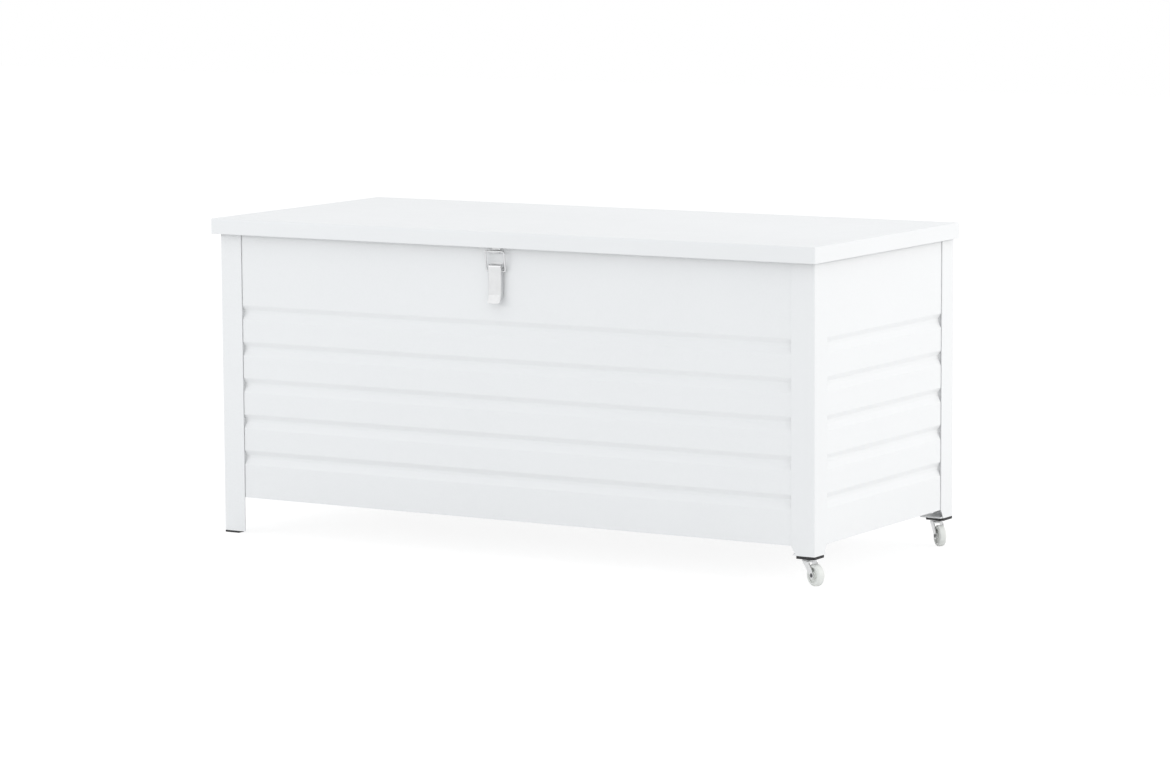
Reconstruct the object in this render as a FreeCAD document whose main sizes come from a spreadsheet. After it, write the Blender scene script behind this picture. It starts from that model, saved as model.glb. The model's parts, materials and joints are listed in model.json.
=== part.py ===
import FreeCAD, Part
import os
import re
import Sketcher

# Cushion storage box, in millimetres.
# The origin is the middle of the whole box on the floor. X runs to the castor end, Y to the hinges, Z up.

SIZES = [
    ("overall_height", 614, "floor to the top of the lid"),
    ("lid_length", 1320, "lid along X"),
    ("lid_depth", 580, "lid along Y"),
    ("lid_skirt", 30, "height of the lid's down-turned edge"),
    ("lid_sheet", 1.2, "sheet of the lid"),
    ("lid_edge_radius", 3, "bend at the lid's outer edges"),
    ("end_overhang", 10, "lid past the posts at each end"),
    ("front_overhang", 18, "lid past the posts in front"),
    ("rear_overhang", 4, "lid past the posts behind"),
    ("bumper_height", 8.5, "rubber bumper between rim and lid"),
    ("bumper_radius", 8, "radius of a bumper"),
    ("bumper_gap", 0.3, "air between bumper and lid"),
    ("bumper_inset", 90, "outer bumpers in from the posts' outer faces"),
    ("post_flange", 48, "width of a corner post's flange"),
    ("post_end_flange", 37.5, "flange width where a post meets its castor"),
    ("post_sheet", 2, "sheet of a post"),
    ("post_bend", 2.5, "outer radius of a post's bend"),
    ("panel_sheet", 1.2, "sheet of a wall panel"),
    ("panel_bottom", 71, "floor to the walls' lower edge"),
    ("groove_drop", 158, "top of the walls to the first groove"),
    ("groove_pitch", 70.6, "groove to groove"),
    ("groove_height", 28, "height of a groove at the wall's face"),
    ("groove_depth", 6, "depth of a groove"),
    ("groove_upper_slope", 9, "height of a groove's upper slope"),
    ("groove_lower_slope", 13, "height of a groove's lower slope"),
    ("groove_margin", 36, "least flat wall under the last groove"),
    ("rail_width", 22, "flange of the rim and base angles"),
    ("rail_sheet", 2, "sheet of the rim and base angles"),
    ("rail_lift", 5, "base angles above the walls' lower edge"),
    ("floor_sheet", 1.5, "sheet of the box's floor"),
    ("floor_gap", 0.5, "air around the box's floor"),
    ("stiffener_width", 40, "lid stiffener along X"),
    ("stiffener_height", 14, "lid stiffener below the lid"),
    ("stiffener_clearance", 12, "stiffener end to rim angle"),
    ("foot_width", 33, "black foot pad along the front"),
    ("foot_depth", 20, "black foot pad from front to back"),
    ("foot_height", 4, "thickness of a foot pad"),
    ("foot_plug_height", 10, "height of the pad's plug in the post"),
    ("foot_plug_width", 28, "the pad's plug along the front"),
    ("foot_plug_depth", 16, "the pad's plug from front to back"),
    ("castor_inset", 22.5, "swivel axis in from both outer faces"),
    ("castor_trail", 20, "swivel axis to axle"),
    ("castor_front_turn", -27.3, "direction of the front castor's trail, degrees from X"),
    ("castor_rear_turn", -44.7, "direction of the rear castor's trail, degrees from X"),
    ("castor_plate", 2.5, "plate that closes a post above its castor"),
    ("castor_pad_size", 38, "side of the black pad under a post"),
    ("castor_pad", 5.3, "thickness of the black pad"),
    ("ring_radius", 12, "radius of the swivel ring"),
    ("ring_height", 2.2, "height of the swivel ring"),
    ("stem_radius", 4, "radius of the swivel stem"),
    ("stem_head_radius", 6.5, "radius of the stem's head"),
    ("stem_head", 2, "thickness of the stem's head"),
    ("wheel_radius", 20, "radius of a wheel"),
    ("wheel_width", 14, "width of a wheel"),
    ("wheel_edge", 2.5, "chamfer at the tread's edges"),
    ("wheel_rim", 6, "thickness of the tread and rim"),
    ("wheel_web", 6, "width of the wheel between hub and rim"),
    ("wheel_hub", 6.5, "radius of the wheel's hub"),
    ("axle_radius", 2.5, "radius of an axle"),
    ("axle_head_radius", 4.5, "radius of an axle's heads"),
    ("axle_head", 1.5, "thickness of an axle's heads"),
    ("fork_sheet", 2.7, "sheet of a fork's crown"),
    ("fork_leg", 2, "sheet of a fork's legs"),
    ("fork_crown_radius", 14, "radius of a fork's crown"),
    ("fork_boss", 6.5, "radius of a leg's end round the axle"),
    ("fork_leg_back", 7, "leg's root behind the swivel axis"),
    ("fork_leg_front", 12, "leg's root ahead of the swivel axis"),
    ("crown_clearance", 3.5, "wheel to crown"),
    ("fork_side_gap", 0.8, "wheel to leg"),
    ("running_gap", 0.3, "air between faces that turn past each other"),
    ("running_clearance", 0.06, "radial clearance of a pin in its bore"),
    ("hinge_gap", 0.5, "lid skirt to hinge knuckle"),
    ("knuckle_radius", 4.5, "radius of a hinge knuckle"),
    ("knuckle_length", 19.6, "length of a hinge knuckle"),
    ("hinge_pin_radius", 2, "radius of a hinge pin"),
    ("hinge_sheet", 2, "sheet of a hinge leaf"),
    ("hinge_width", 60, "hinge leaf along X"),
    ("hinge_body_leaf", 35, "hinge axis to the body leaf's lower edge"),
    ("hinge_lid_leaf", 27, "hinge axis to the lid leaf's upper edge"),
    ("hinge_inset", 210, "lid's end to the outer hinges"),
    ("hinge_lap", 1, "leaf's plate clear of the knuckle"),
    ("hinge_screw_spacing", 36, "screw to screw on a leaf"),
    ("screw_radius", 1.6, "radius of a hinge screw"),
    ("screw_head_radius", 3.2, "radius of a hinge screw's head"),
    ("screw_head", 1.6, "height of a hinge screw's head"),
    ("screw_tail", 3, "hinge screw past the sheet that it holds"),
    ("corner_screw_radius", 1.9, "radius of a corner screw"),
    ("corner_screw_head_radius", 4, "radius of a corner screw's head"),
    ("corner_screw_head", 2, "height of a corner screw's head"),
    ("corner_screw_bite", 1.6, "corner screw's hold in a post"),
    ("corner_screw_inset", 34, "corner screw in from a post's outer corner"),
    ("gas_radius", 200, "hinge axis to each gas spring pivot"),
    ("gas_closed_angle", 70, "angle between the pivots when the lid is shut, degrees"),
    ("gas_open_angle", 75, "travel of the lid, degrees"),
    ("gas_lid_drop", 15.8, "lid's underside to the lid pivot"),
    ("gas_inset", 38, "gas spring in from the posts' outer faces"),
    ("gas_tube_radius", 9, "radius of a gas spring's tube"),
    ("gas_tube_wall", 1.5, "wall of the tube"),
    ("gas_tube_start", 12, "wall pivot to the tube"),
    ("gas_end_gap", 3, "rod's end to the tube's closed end when the lid is shut"),
    ("gas_guide", 10, "length of the rod's guide in the tube"),
    ("gas_rod_radius", 4, "radius of a gas spring's rod"),
    ("gas_rod_stub", 24, "lid pivot to the tube when shut"),
    ("gas_piston", 8, "length of the piston"),
    ("gas_piston_gap", 0.3, "air around rod and piston"),
    ("gas_eye_radius", 7, "radius of an end eye"),
    ("gas_eye_width", 10, "width of an end eye"),
    ("gas_stud_radius", 4, "radius of a pivot stud"),
    ("gas_stud_head", 1.5, "thickness of a stud's head"),
    ("gas_stud_head_radius", 6, "radius of a stud's head"),
    ("gas_bracket_sheet", 3, "sheet of the gas spring brackets"),
    ("gas_bracket_size", 36, "width of a bracket's plate"),
    ("gas_boss_radius", 8, "radius of the wall bracket's boss"),
    ("latch_offset", 18, "middle of the box to the middle of the latch, to the left"),
    ("latch_drop", 36, "lid skirt's lower edge to the lever's pivot"),
    ("latch_pivot_out", 7.5, "front panel to the lever's pivot"),
    ("latch_base_sheet", 1.5, "sheet of the latch base"),
    ("latch_base_width", 25, "width of the latch base"),
    ("latch_base_above", 8, "latch base above the pivot"),
    ("latch_base_below", 46, "latch base below the pivot"),
    ("latch_ear_sheet", 1.2, "sheet of the base's ears"),
    ("latch_ear_radius", 3, "radius of an ear's end"),
    ("latch_pin_radius", 1.5, "radius of the lever's pin"),
    ("latch_pin_head_radius", 3, "radius of the pin's heads"),
    ("latch_pin_head", 1, "thickness of the pin's heads"),
    ("lever_sheet", 1.2, "sheet of the lever"),
    ("lever_web_out", 2.8, "pivot to the lever's web"),
    ("lever_web_start", 3, "lever's web below the pivot"),
    ("lever_web_end", 50, "pivot to the start of the finger lip"),
    ("lever_lip_drop", 18, "height of the finger lip"),
    ("lever_lip_out", 5.2, "reach of the finger lip"),
    ("lever_flange_end", 46, "pivot to the flanges' lower end"),
    ("lever_flange_in", 4.3, "flanges behind the pivot"),
    ("lever_boss_radius", 4.5, "radius of a flange's end round the pivot"),
    ("bow_pivot_in", 2, "bow's pivot behind the lever's"),
    ("bow_pivot_drop", 8.5, "bow's pivot below the lever's"),
    ("bow_height", 38, "bow's pivot to its top bar"),
    ("bow_tilt", 8.8, "lean of the bow from upright, degrees"),
    ("bow_half_width", 20.5, "middle of the bow to a leg's centre"),
    ("bow_wire_radius", 1.75, "radius of the bow's wire"),
    ("bow_bend_radius", 4, "bend of the wire, to its centre"),
    ("bow_end", 0.9, "bow's ends past the lever's flanges"),
    ("catch_width", 18, "width of the catch"),
    ("catch_sheet", 1.4, "sheet of the catch"),
    ("catch_neck_out", 3.5, "front panel to the catch's neck"),
    ("catch_flange_out", 17, "front panel to the end of the catch's flange"),
    ("catch_gap", 0.35, "catch's lip to the bow's bar"),
    ("catch_hook_drop", 4, "bow's bar to the hook's lower face"),
    ("catch_lip_rise", 2, "hook's lip above the bar's centre"),
    ("rivet_radius", 2, "radius of a latch rivet"),
    ("rivet_head_radius", 3.5, "radius of a rivet's head"),
    ("rivet_head", 1.5, "height of a rivet's head"),
    ("rivet_first_drop", 16, "pivot to the upper rivet"),
    ("rivet_spacing", 22, "rivet to rivet"),
]

# Places that follow from the sizes, as expressions of the sheet's words.
hinge_reach = "(hinge_gap + 2 * knuckle_radius)"
lid_front = f"(-(lid_depth + {hinge_reach}) / 2)"
lid_rear = f"({lid_front} + lid_depth)"
lid_under = "(overall_height - lid_sheet)"
skirt_low = "(overall_height - lid_skirt)"
body_front = f"({lid_front} + front_overhang)"
body_rear = f"({lid_rear} - rear_overhang)"
body_middle = f"(({body_front} + {body_rear}) / 2)"
body_side = "(lid_length / 2 - end_overhang)"
body_top = f"({lid_under} - bumper_gap - bumper_height)"
panel_front = f"({body_front} + post_sheet)"
panel_rear = f"({body_rear} - post_sheet)"
panel_side = f"({body_side} - post_sheet)"
wall = "(post_sheet + panel_sheet)"
rail_low = "(panel_bottom + rail_lift)"
hinge_y = f"({lid_rear} + hinge_gap + knuckle_radius)"
hinge_z = skirt_low
hinge_step = "(knuckle_radius + hinge_lap)"
hinge_x = "(lid_length / 2 - hinge_inset)"
stiffener_x = "(lid_length / 4)"
crown_low = "(2 * wheel_radius + crown_clearance)"
ring_low = f"({crown_low} + fork_sheet + running_gap)"
castor_top = f"({ring_low} + ring_height + castor_pad)"
lever_half = "(latch_base_width / 2 + running_gap + lever_sheet)"
latch_x = "-latch_offset"
latch_z = f"({skirt_low} - latch_drop)"
latch_y = f"({panel_front} - latch_pivot_out)"
bow_y = f"({latch_y} + bow_pivot_in)"
bow_z = f"({latch_z} - bow_pivot_drop)"
bar_out = "(latch_pivot_out - bow_pivot_in + bow_height * sin(bow_tilt * 1 deg))"
bar_z = f"({bow_z} + bow_height * cos(bow_tilt * 1 deg))"
gas_x = f"({body_side} - gas_inset)"
gas_rest_angle = "asin((lid_skirt - lid_sheet - gas_lid_drop) / gas_radius)"
gas_lid_y = f"({hinge_y} - gas_radius * cos({gas_rest_angle}))"
gas_lid_z = f"({hinge_z} + gas_radius * sin({gas_rest_angle}))"
gas_wall_y = f"({hinge_y} - gas_radius * cos({gas_rest_angle} - gas_closed_angle * 1 deg))"
gas_wall_z = f"({hinge_z} + gas_radius * sin({gas_rest_angle} - gas_closed_angle * 1 deg))"
gas_tilt = f"(gas_closed_angle / 2 * 1 deg - {gas_rest_angle})"
gas_shut = "(2 * gas_radius * sin(gas_closed_angle / 2 * 1 deg))"
gas_open = "(2 * gas_radius * sin((gas_closed_angle + gas_open_angle) / 2 * 1 deg))"
gas_tube_end = f"({gas_shut} - gas_rod_stub)"
gas_rod_length = f"({gas_open} - {gas_tube_end} + gas_guide + 2 * gas_piston)"

document = FreeCAD.newDocument("CushionBox")
sheet = document.addObject("Spreadsheet::Sheet", "Sizes")
subparts = []


def fill_sheet():
    """Write each size with its name and meaning, one row each."""
    for row, (name, number, meaning) in enumerate(SIZES, start=1):
        sheet.set(f"A{row}", name)
        sheet.set(f"B{row}", str(number))
        sheet.set(f"C{row}", meaning)
        sheet.setAlias(f"B{row}", name)
    document.recompute()


def given(text):
    """Point every size named in an expression at the sheet."""
    return re.sub(r"\b([a-z]+(?:_[a-z]+)+)\b", r"Sizes.\1", text)


def number(text):
    """Work an expression out as a plain number."""
    result = sheet.evalExpression(given(text))
    return getattr(result, "Value", result)


def bind(thing, expressions):
    """Tie properties of an object to expressions."""
    for name, text in expressions.items():
        thing.setExpression(name, given(text))


def place(thing, at, axis=None, angle=None):
    """Tie an object's place, and its turn about an axis, to expressions."""
    if axis is not None:
        thing.Placement = FreeCAD.Placement(FreeCAD.Vector(), FreeCAD.Rotation(FreeCAD.Vector(*axis), 10))
        bind(thing, {"Placement.Rotation.Angle": angle})
    bind(thing, {f"Placement.Base.{letter}": text for letter, text in zip("xyz", at)})
    return thing


def block(name, size, at):
    """A box with its low corner at a place."""
    thing = document.addObject("Part::Box", name)
    bind(thing, dict(zip(("Length", "Width", "Height"), size)))
    return place(thing, at)


def round_bar(name, radius, length, at, along="z"):
    """A cylinder that starts at a place and runs along an axis."""
    thing = document.addObject("Part::Cylinder", name)
    bind(thing, {"Radius": radius, "Height": length})
    turns = {"x": ((0, 1, 0), 90), "y": ((1, 0, 0), -90), "z": ((0, 0, 1), 0)}
    direction, degrees = turns[along]
    thing.Placement = FreeCAD.Placement(FreeCAD.Vector(), FreeCAD.Rotation(FreeCAD.Vector(*direction), degrees))
    bind(thing, {f"Placement.Base.{letter}": text for letter, text in zip("xyz", at)})
    return thing


def joined(name, pieces):
    """One solid from pieces that touch or overlap."""
    thing = document.addObject("Part::MultiFuse", name)
    thing.Shapes = pieces
    thing.Refine = True
    return thing


def without(name, base, tools):
    """A piece with other pieces cut out of it."""
    thing = document.addObject("Part::Cut", name)
    thing.Base = base
    thing.Tool = tools[0] if len(tools) == 1 else joined(name + "_tools", tools)
    return thing


def together(name, pieces):
    """Separate solids kept as one group."""
    thing = document.addObject("Part::Compound", name)
    thing.Links = pieces
    return thing


def keep(thing, label):
    """List a finished sub-part under the name of its file."""
    thing.Label = label
    subparts.append(thing)
    return thing


def origin_plane(body, role):
    return next(feature for feature in body.Origin.OriginFeatures if feature.Role == role)


def outline(body, name, plane, points):
    """A closed sketch whose corners are tied to expressions."""
    sketch = body.newObject("Sketcher::SketchObject", name)
    sketch.AttachmentSupport = (origin_plane(body, plane), [""])
    sketch.MapMode = "FlatFace"
    corners = [FreeCAD.Vector(number(across), number(up), 0) for across, up in points]
    count = len(corners)
    for index in range(count):
        sketch.addGeometry(Part.LineSegment(corners[index], corners[(index + 1) % count]), False)
    for index in range(count):
        sketch.addConstraint(Sketcher.Constraint("Coincident", index, 2, (index + 1) % count, 1))
    for index, (across, up) in enumerate(points):
        for kind, text, start in (("DistanceX", across, corners[index].x), ("DistanceY", up, corners[index].y)):
            row = sketch.addConstraint(Sketcher.Constraint(kind, -1, 1, index, 1, start))
            sketch.setExpression(f"Constraints[{row}]", given(text))
    return sketch


def pressed(name, plane, points, length, middle=True):
    """A body made by padding an outline, to both sides of its plane or to one."""
    body = document.addObject("PartDesign::Body", name)
    pad = body.newObject("PartDesign::Pad", name + "_pad")
    pad.Profile = outline(body, name + "_outline", plane, points)
    pad.SideType = "Symmetric" if middle else "One side"
    bind(pad, {"Length": length})
    return body


def rounded(body, name, is_sharp, radius):
    """Round the edges of a body that a test picks out."""
    document.recompute()
    base = body.Tip
    names = [f"Edge{index}" for index, edge in enumerate(base.Shape.Edges, start=1) if is_sharp(edge)]
    bend = body.newObject("PartDesign::Fillet", name)
    bend.Base = (base, names)
    bind(bend, {"Radius": radius})
    return bend


def notch(body, name, plane, points, length):
    """A pocket cut to both sides of an origin plane."""
    pocket = body.newObject("PartDesign::Pocket", name)
    pocket.Profile = outline(body, name + "_outline", plane, points)
    pocket.SideType = "Symmetric"
    bind(pocket, {"Length": length})
    return pocket


def groove_tops():
    """Heights of the grooves' upper edges: as many as the wall has room for."""
    room = number(f"{body_top} - groove_drop - groove_height - groove_margin - panel_bottom")
    count = int(room // number("groove_pitch")) + 1
    return [f"({body_top} - groove_drop - {index} * groove_pitch)" for index in range(count)]


def land_heights():
    """Middle of the flat wall above the grooves and between them."""
    tops = groove_tops()
    between = [f"({top} - (groove_pitch + groove_height) / 2)" for top in tops[:-1]]
    return [f"({body_top} - groove_drop / 2)"] + between


def wall_panel(label, length, at, turn):
    """A grooved sheet, its outer face at y = 0 before it is turned."""
    face = [("0", body_top)]
    for top in groove_tops():
        face.append(("0", top))
        face.append(("groove_depth", f"{top} - groove_upper_slope"))
        face.append(("groove_depth", f"{top} - groove_height + groove_lower_slope"))
        face.append(("0", f"{top} - groove_height"))
    face.append(("0", "panel_bottom"))
    back = [(f"{across} + panel_sheet", up) for across, up in reversed(face)]
    panel = pressed(label, "YZ_Plane", face + back, length)
    place(panel, at, (0, 0, 1), turn)
    return keep(panel, label)


def wall_panels():
    deep = "(groove_depth + panel_sheet)"
    end_length = f"({panel_rear} - {panel_front} - 2 * {deep})"
    wall_panel("front_panel", f"2 * {panel_side}", ("0", panel_front, "0"), "0")
    wall_panel("rear_panel", f"2 * {panel_side}", ("0", panel_rear, "0"), "180")
    wall_panel("right_end_panel", end_length, (panel_side, body_middle, "0"), "90")
    wall_panel("left_end_panel", end_length, (f"-{panel_side}", body_middle, "0"), "-90")


def corner_post(label, low, at, turn, tapered):
    """An angle with equal flanges, its outer corner on the Z axis before it is turned."""
    corners = [("0", "0"), ("post_flange", "0"), ("post_flange", "post_sheet")]
    corners += [("post_sheet", "post_sheet"), ("post_sheet", "post_flange"), ("0", "post_flange")]
    post = pressed(label, "XY_Plane", corners, f"{body_top} - {low}", middle=False)
    rounded(post, label + "_bend", lambda edge: max(edge.BoundBox.XMax, edge.BoundBox.YMax) < 1, "post_bend")
    if tapered:
        rise = f"(panel_bottom - {low})"
        wedge = [("post_end_flange", "0"), ("post_flange", rise), ("post_flange + post_sheet", rise)]
        wedge += [("post_flange + post_sheet", "-post_sheet"), ("post_end_flange", "-post_sheet")]
        notch(post, label + "_taper_along_x", "XZ_Plane", wedge, "4 * post_sheet")
        notch(post, label + "_taper_along_y", "YZ_Plane", wedge, "4 * post_sheet")
    place(post, at + (low,), (0, 0, 1), turn)
    return keep(post, label)


def corner_posts():
    corner_post("post_front_left", "foot_height", (f"-{body_side}", body_front), "0", False)
    corner_post("post_rear_left", "foot_height", (f"-{body_side}", body_rear), "-90", False)
    corner_post("post_front_right", castor_top, (body_side, body_front), "90", True)
    corner_post("post_rear_right", castor_top, (body_side, body_rear), "180", True)


def angle_rail(label, length, at, turn, side):
    """An angle rail. side is 1 with its flat flange below and -1 with it on top."""
    flat = f"{side} * rail_sheet"
    tall = f"{side} * rail_width"
    corners = [("0", "0"), ("rail_width", "0"), ("rail_width", flat), ("rail_sheet", flat)]
    corners += [("rail_sheet", tall), ("0", tall)]
    rail = pressed(label, "YZ_Plane", corners, length)
    place(rail, at, (0, 0, 1), turn)
    return keep(rail, label)


def rails():
    long_run = f"2 * ({body_side} - {wall})"
    short_run = f"({body_rear} - {body_front} - 2 * {wall} - 2 * rail_width)"
    for prefix, height, side in (("base_rail", rail_low, "1"), ("rim_rail", body_top, "-1")):
        angle_rail(prefix + "_front", long_run, ("0", f"{body_front} + {wall}", height), "0", side)
        angle_rail(prefix + "_rear", long_run, ("0", f"{body_rear} - {wall}", height), "180", side)
        angle_rail(prefix + "_right", short_run, (f"{body_side} - {wall}", body_middle, height), "90", side)
        angle_rail(prefix + "_left", short_run, (f"-({body_side} - {wall})", body_middle, height), "-90", side)


def floor_panel():
    edge = f"({wall} + rail_sheet + floor_gap)"
    size = (f"2 * ({body_side} - {edge})", f"{body_rear} - {body_front} - 2 * {edge}", "floor_sheet")
    at = (f"-({body_side} - {edge})", f"{body_front} + {edge}", f"{rail_low} + rail_sheet")
    keep(block("floor_panel", size, at), "floor_panel")


def lid_shell():
    """A shallow pan, open below, with its outer edges bent round."""
    half = "lid_length / 2"
    corners = [(f"-{half}", lid_front), (half, lid_front), (half, lid_rear), (f"-{half}", lid_rear)]
    shell = pressed("lid_shell", "XY_Plane", corners, "lid_skirt", middle=False)
    bends = rounded(shell, "lid_bends", lambda edge: edge.BoundBox.ZMax > 1, "lid_edge_radius")
    document.recompute()
    faces = enumerate(bends.Shape.Faces, start=1)
    open_side = [f"Face{index}" for index, face in faces if face.BoundBox.ZMax < 1]
    hollow = shell.newObject("PartDesign::Thickness", "lid_hollow")
    hollow.Base = (bends, open_side)
    hollow.Mode = "Skin"
    hollow.Reversed = True
    bind(hollow, {"Value": "lid_sheet"})
    place(shell, ("0", "0", skirt_low))
    keep(shell, "lid_shell")


def lid_stiffeners():
    """Two channels under the lid, open upwards, short of the rim rails."""
    half = "(stiffener_width / 2)"
    inner = f"({half} - lid_sheet)"
    low = "-stiffener_height"
    corners = [(f"-{half}", "0"), (f"-{half}", low), (half, low), (half, "0"), (inner, "0")]
    corners += [(inner, f"{low} + lid_sheet"), (f"-{inner}", f"{low} + lid_sheet"), (f"-{inner}", "0")]
    edge = f"({wall} + rail_width + stiffener_clearance)"
    length = f"{body_rear} - {body_front} - 2 * {edge}"
    for side, sign in (("left", "-1"), ("right", "1")):
        label = "lid_stiffener_" + side
        channel = pressed(label, "XZ_Plane", corners, length)
        place(channel, (f"{sign} * {stiffener_x}", body_middle, lid_under))
        keep(channel, label)


def lid_bumpers():
    seat = f"({wall} + rail_width / 2)"
    pieces = []
    for row, across in (("front", f"{body_front} + {seat}"), ("rear", f"{body_rear} - {seat}")):
        for index, sign in enumerate(("-1", "0", "1")):
            at = (f"{sign} * ({body_side} - bumper_inset)", across, body_top)
            pieces.append(round_bar(f"bumper_{row}_{index}", "bumper_radius", "bumper_height", at))
    keep(together("lid_bumpers", pieces), "lid_bumpers")


def foot_pads():
    """Black pads under the left posts, each with a plug in the post's corner."""
    for row, across, turn in (("front", body_front, "0"), ("rear", body_rear, "-90")):
        label = "foot_pad_" + row
        plan, plug_plan = ("foot_width", "foot_depth"), ("foot_plug_width", "foot_plug_depth")
        if row == "rear":
            plan, plug_plan = plan[::-1], plug_plan[::-1]
        tread = block(label + "_tread", (*plan, "foot_height"), ("0", "0", "0"))
        plug = block(label + "_plug", (*plug_plan, "foot_plug_height"), ("post_sheet", "post_sheet", "foot_height"))
        pad = joined(label, [tread, plug])
        place(pad, (f"-{body_side}", across, "0"), (0, 0, 1), turn)
        keep(pad, label)


def castor_seat(row, across, sign, turn):
    """The light plate and the black pad under a right post."""
    inner = "(post_flange - 2 * post_sheet)"
    plate = block("castor_plate_" + row, (inner, inner, "castor_plate"), ("0", "0", "0"))
    pad = block("castor_pad_" + row, ("castor_pad_size", "castor_pad_size", "castor_pad"), ("0", "0", "0"))
    plate_at = (f"{body_side} - post_sheet", f"{across} {sign} post_sheet", castor_top)
    place(plate, plate_at, (0, 0, 1), turn)
    place(pad, (body_side, across, f"{castor_top} - castor_pad"), (0, 0, 1), turn)
    keep(plate, "castor_plate_" + row)
    keep(pad, "castor_pad_" + row)


def castor_ring(row, at):
    """The fixed swivel ring with its stem and the head that carries the fork."""
    head_top = f"({crown_low} - running_gap)"
    head_low = f"({head_top} - stem_head)"
    ring = round_bar(f"ring_{row}_disc", "ring_radius", "ring_height", ("0", "0", ring_low))
    stem_length = f"{ring_low} - {head_low} + ring_height / 2"
    stem = round_bar(f"ring_{row}_stem", "stem_radius", stem_length, ("0", "0", head_low))
    head = round_bar(f"ring_{row}_head", "stem_head_radius", "stem_head", ("0", "0", head_low))
    piece = joined("castor_ring_" + row, [ring, stem, head])
    place(piece, at)
    keep(piece, "castor_ring_" + row)


def castor_fork(row, at, turn):
    """A round crown and two legs that trail towards +X before the fork is turned."""
    name = "castor_fork_" + row
    crown_high = f"({crown_low} + fork_sheet)"
    inside = "(wheel_width / 2 + fork_side_gap)"
    crown = round_bar(name + "_crown", "fork_crown_radius", "fork_sheet", ("0", "0", crown_low))
    side = [("-fork_leg_back", crown_high), ("-fork_leg_back", f"{crown_low} - fork_sheet")]
    side += [("castor_trail - fork_boss", "wheel_radius"), ("castor_trail + fork_boss", "wheel_radius")]
    side += [("fork_leg_front", crown_high)]
    pieces = [crown]
    for hand, start in (("near", f"-{inside} - fork_leg"), ("far", inside)):
        leg = pressed(f"{name}_{hand}", "XZ_Plane", side, "fork_leg")
        place(leg, ("0", f"{start} + fork_leg / 2", "0"))
        boss_at = ("castor_trail", start, "wheel_radius")
        pieces += [leg, round_bar(f"{name}_{hand}_boss", "fork_boss", "fork_leg", boss_at, "y")]
    reach = f"({inside} + fork_leg)"
    bore_at = ("castor_trail", f"-{reach}", "wheel_radius")
    bore = round_bar(name + "_bore", "axle_radius", f"2 * {reach}", bore_at, "y")
    stem = round_bar(name + "_stem", "stem_radius + running_clearance", "fork_sheet", ("0", "0", crown_low))
    fork = without(name, joined(name + "_solid", pieces), [bore, stem])
    place(fork, at, (0, 0, 1), turn)
    keep(fork, name)


def castor_axle(row, at, turn):
    """A plain pin with a head outside each leg."""
    name = "castor_axle_" + row
    reach = "(wheel_width / 2 + fork_side_gap + fork_leg)"
    centre = ("castor_trail", f"-{reach}", "wheel_radius")
    pin = round_bar(name + "_pin", "axle_radius", f"2 * {reach}", centre, "y")
    near = round_bar(name + "_near", "axle_head_radius", "axle_head",
                     ("castor_trail", f"-{reach} - axle_head", "wheel_radius"), "y")
    far = round_bar(name + "_far", "axle_head_radius", "axle_head",
                    ("castor_trail", reach, "wheel_radius"), "y")
    axle = joined(name, [pin, near, far])
    place(axle, at, (0, 0, 1), turn)
    keep(axle, name)


def castor_wheel(row, at, turn):
    """A wheel turned about its own axis, with a hub, a thin web and a chamfered rim."""
    name = "castor_wheel_" + row
    half, web = "(wheel_width / 2)", "(wheel_web / 2)"
    bore = "(axle_radius + running_clearance)"
    inner_rim = "(wheel_radius - wheel_rim)"
    near = [(bore, f"-{half}"), ("wheel_hub", f"-{half}"), ("wheel_hub", f"-{web}"), (inner_rim, f"-{web}")]
    near += [(inner_rim, f"-{half}"), ("wheel_radius - wheel_edge", f"-{half}")]
    near += [("wheel_radius", f"-{half} + wheel_edge")]
    far = [(across, f"-({up})") for across, up in reversed(near)]
    wheel = document.addObject("PartDesign::Body", name)
    turned = wheel.newObject("PartDesign::Revolution", name + "_turned")
    profile = outline(wheel, name + "_outline", "XY_Plane", near + far)
    turned.Profile = profile
    turned.ReferenceAxis = (profile, ["V_Axis"])
    turned.Angle = 360
    x, y = at[0], at[1]
    reach_x = f"{x} + castor_trail * cos({turn} * 1 deg)"
    reach_y = f"{y} + castor_trail * sin({turn} * 1 deg)"
    place(wheel, (reach_x, reach_y, "wheel_radius"), (0, 0, 1), turn)
    keep(wheel, name)


def castors():
    x = f"({body_side} - castor_inset)"
    rows = [("front", body_front, "+", "90", "castor_front_turn")]
    rows += [("rear", body_rear, "-", "180", "castor_rear_turn")]
    for row, across, sign, corner_turn, turn in rows:
        at = (x, f"({across} {sign} castor_inset)", "0")
        castor_seat(row, across, sign, corner_turn)
        castor_ring(row, at)
        castor_fork(row, at, turn)
        castor_axle(row, at, turn)
        castor_wheel(row, at, turn)


def leaf_holes(name, reach, height):
    """Two screw holes through a leaf whose face stands off the hinge's axis."""
    holes = []
    for hand, sign in (("left", "-1"), ("right", "1")):
        at = (f"{sign} * hinge_screw_spacing / 2", f"-{reach}", height)
        holes.append(round_bar(f"{name}_{hand}_hole", "screw_radius", "hinge_sheet", at, "y"))
    return holes


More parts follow.
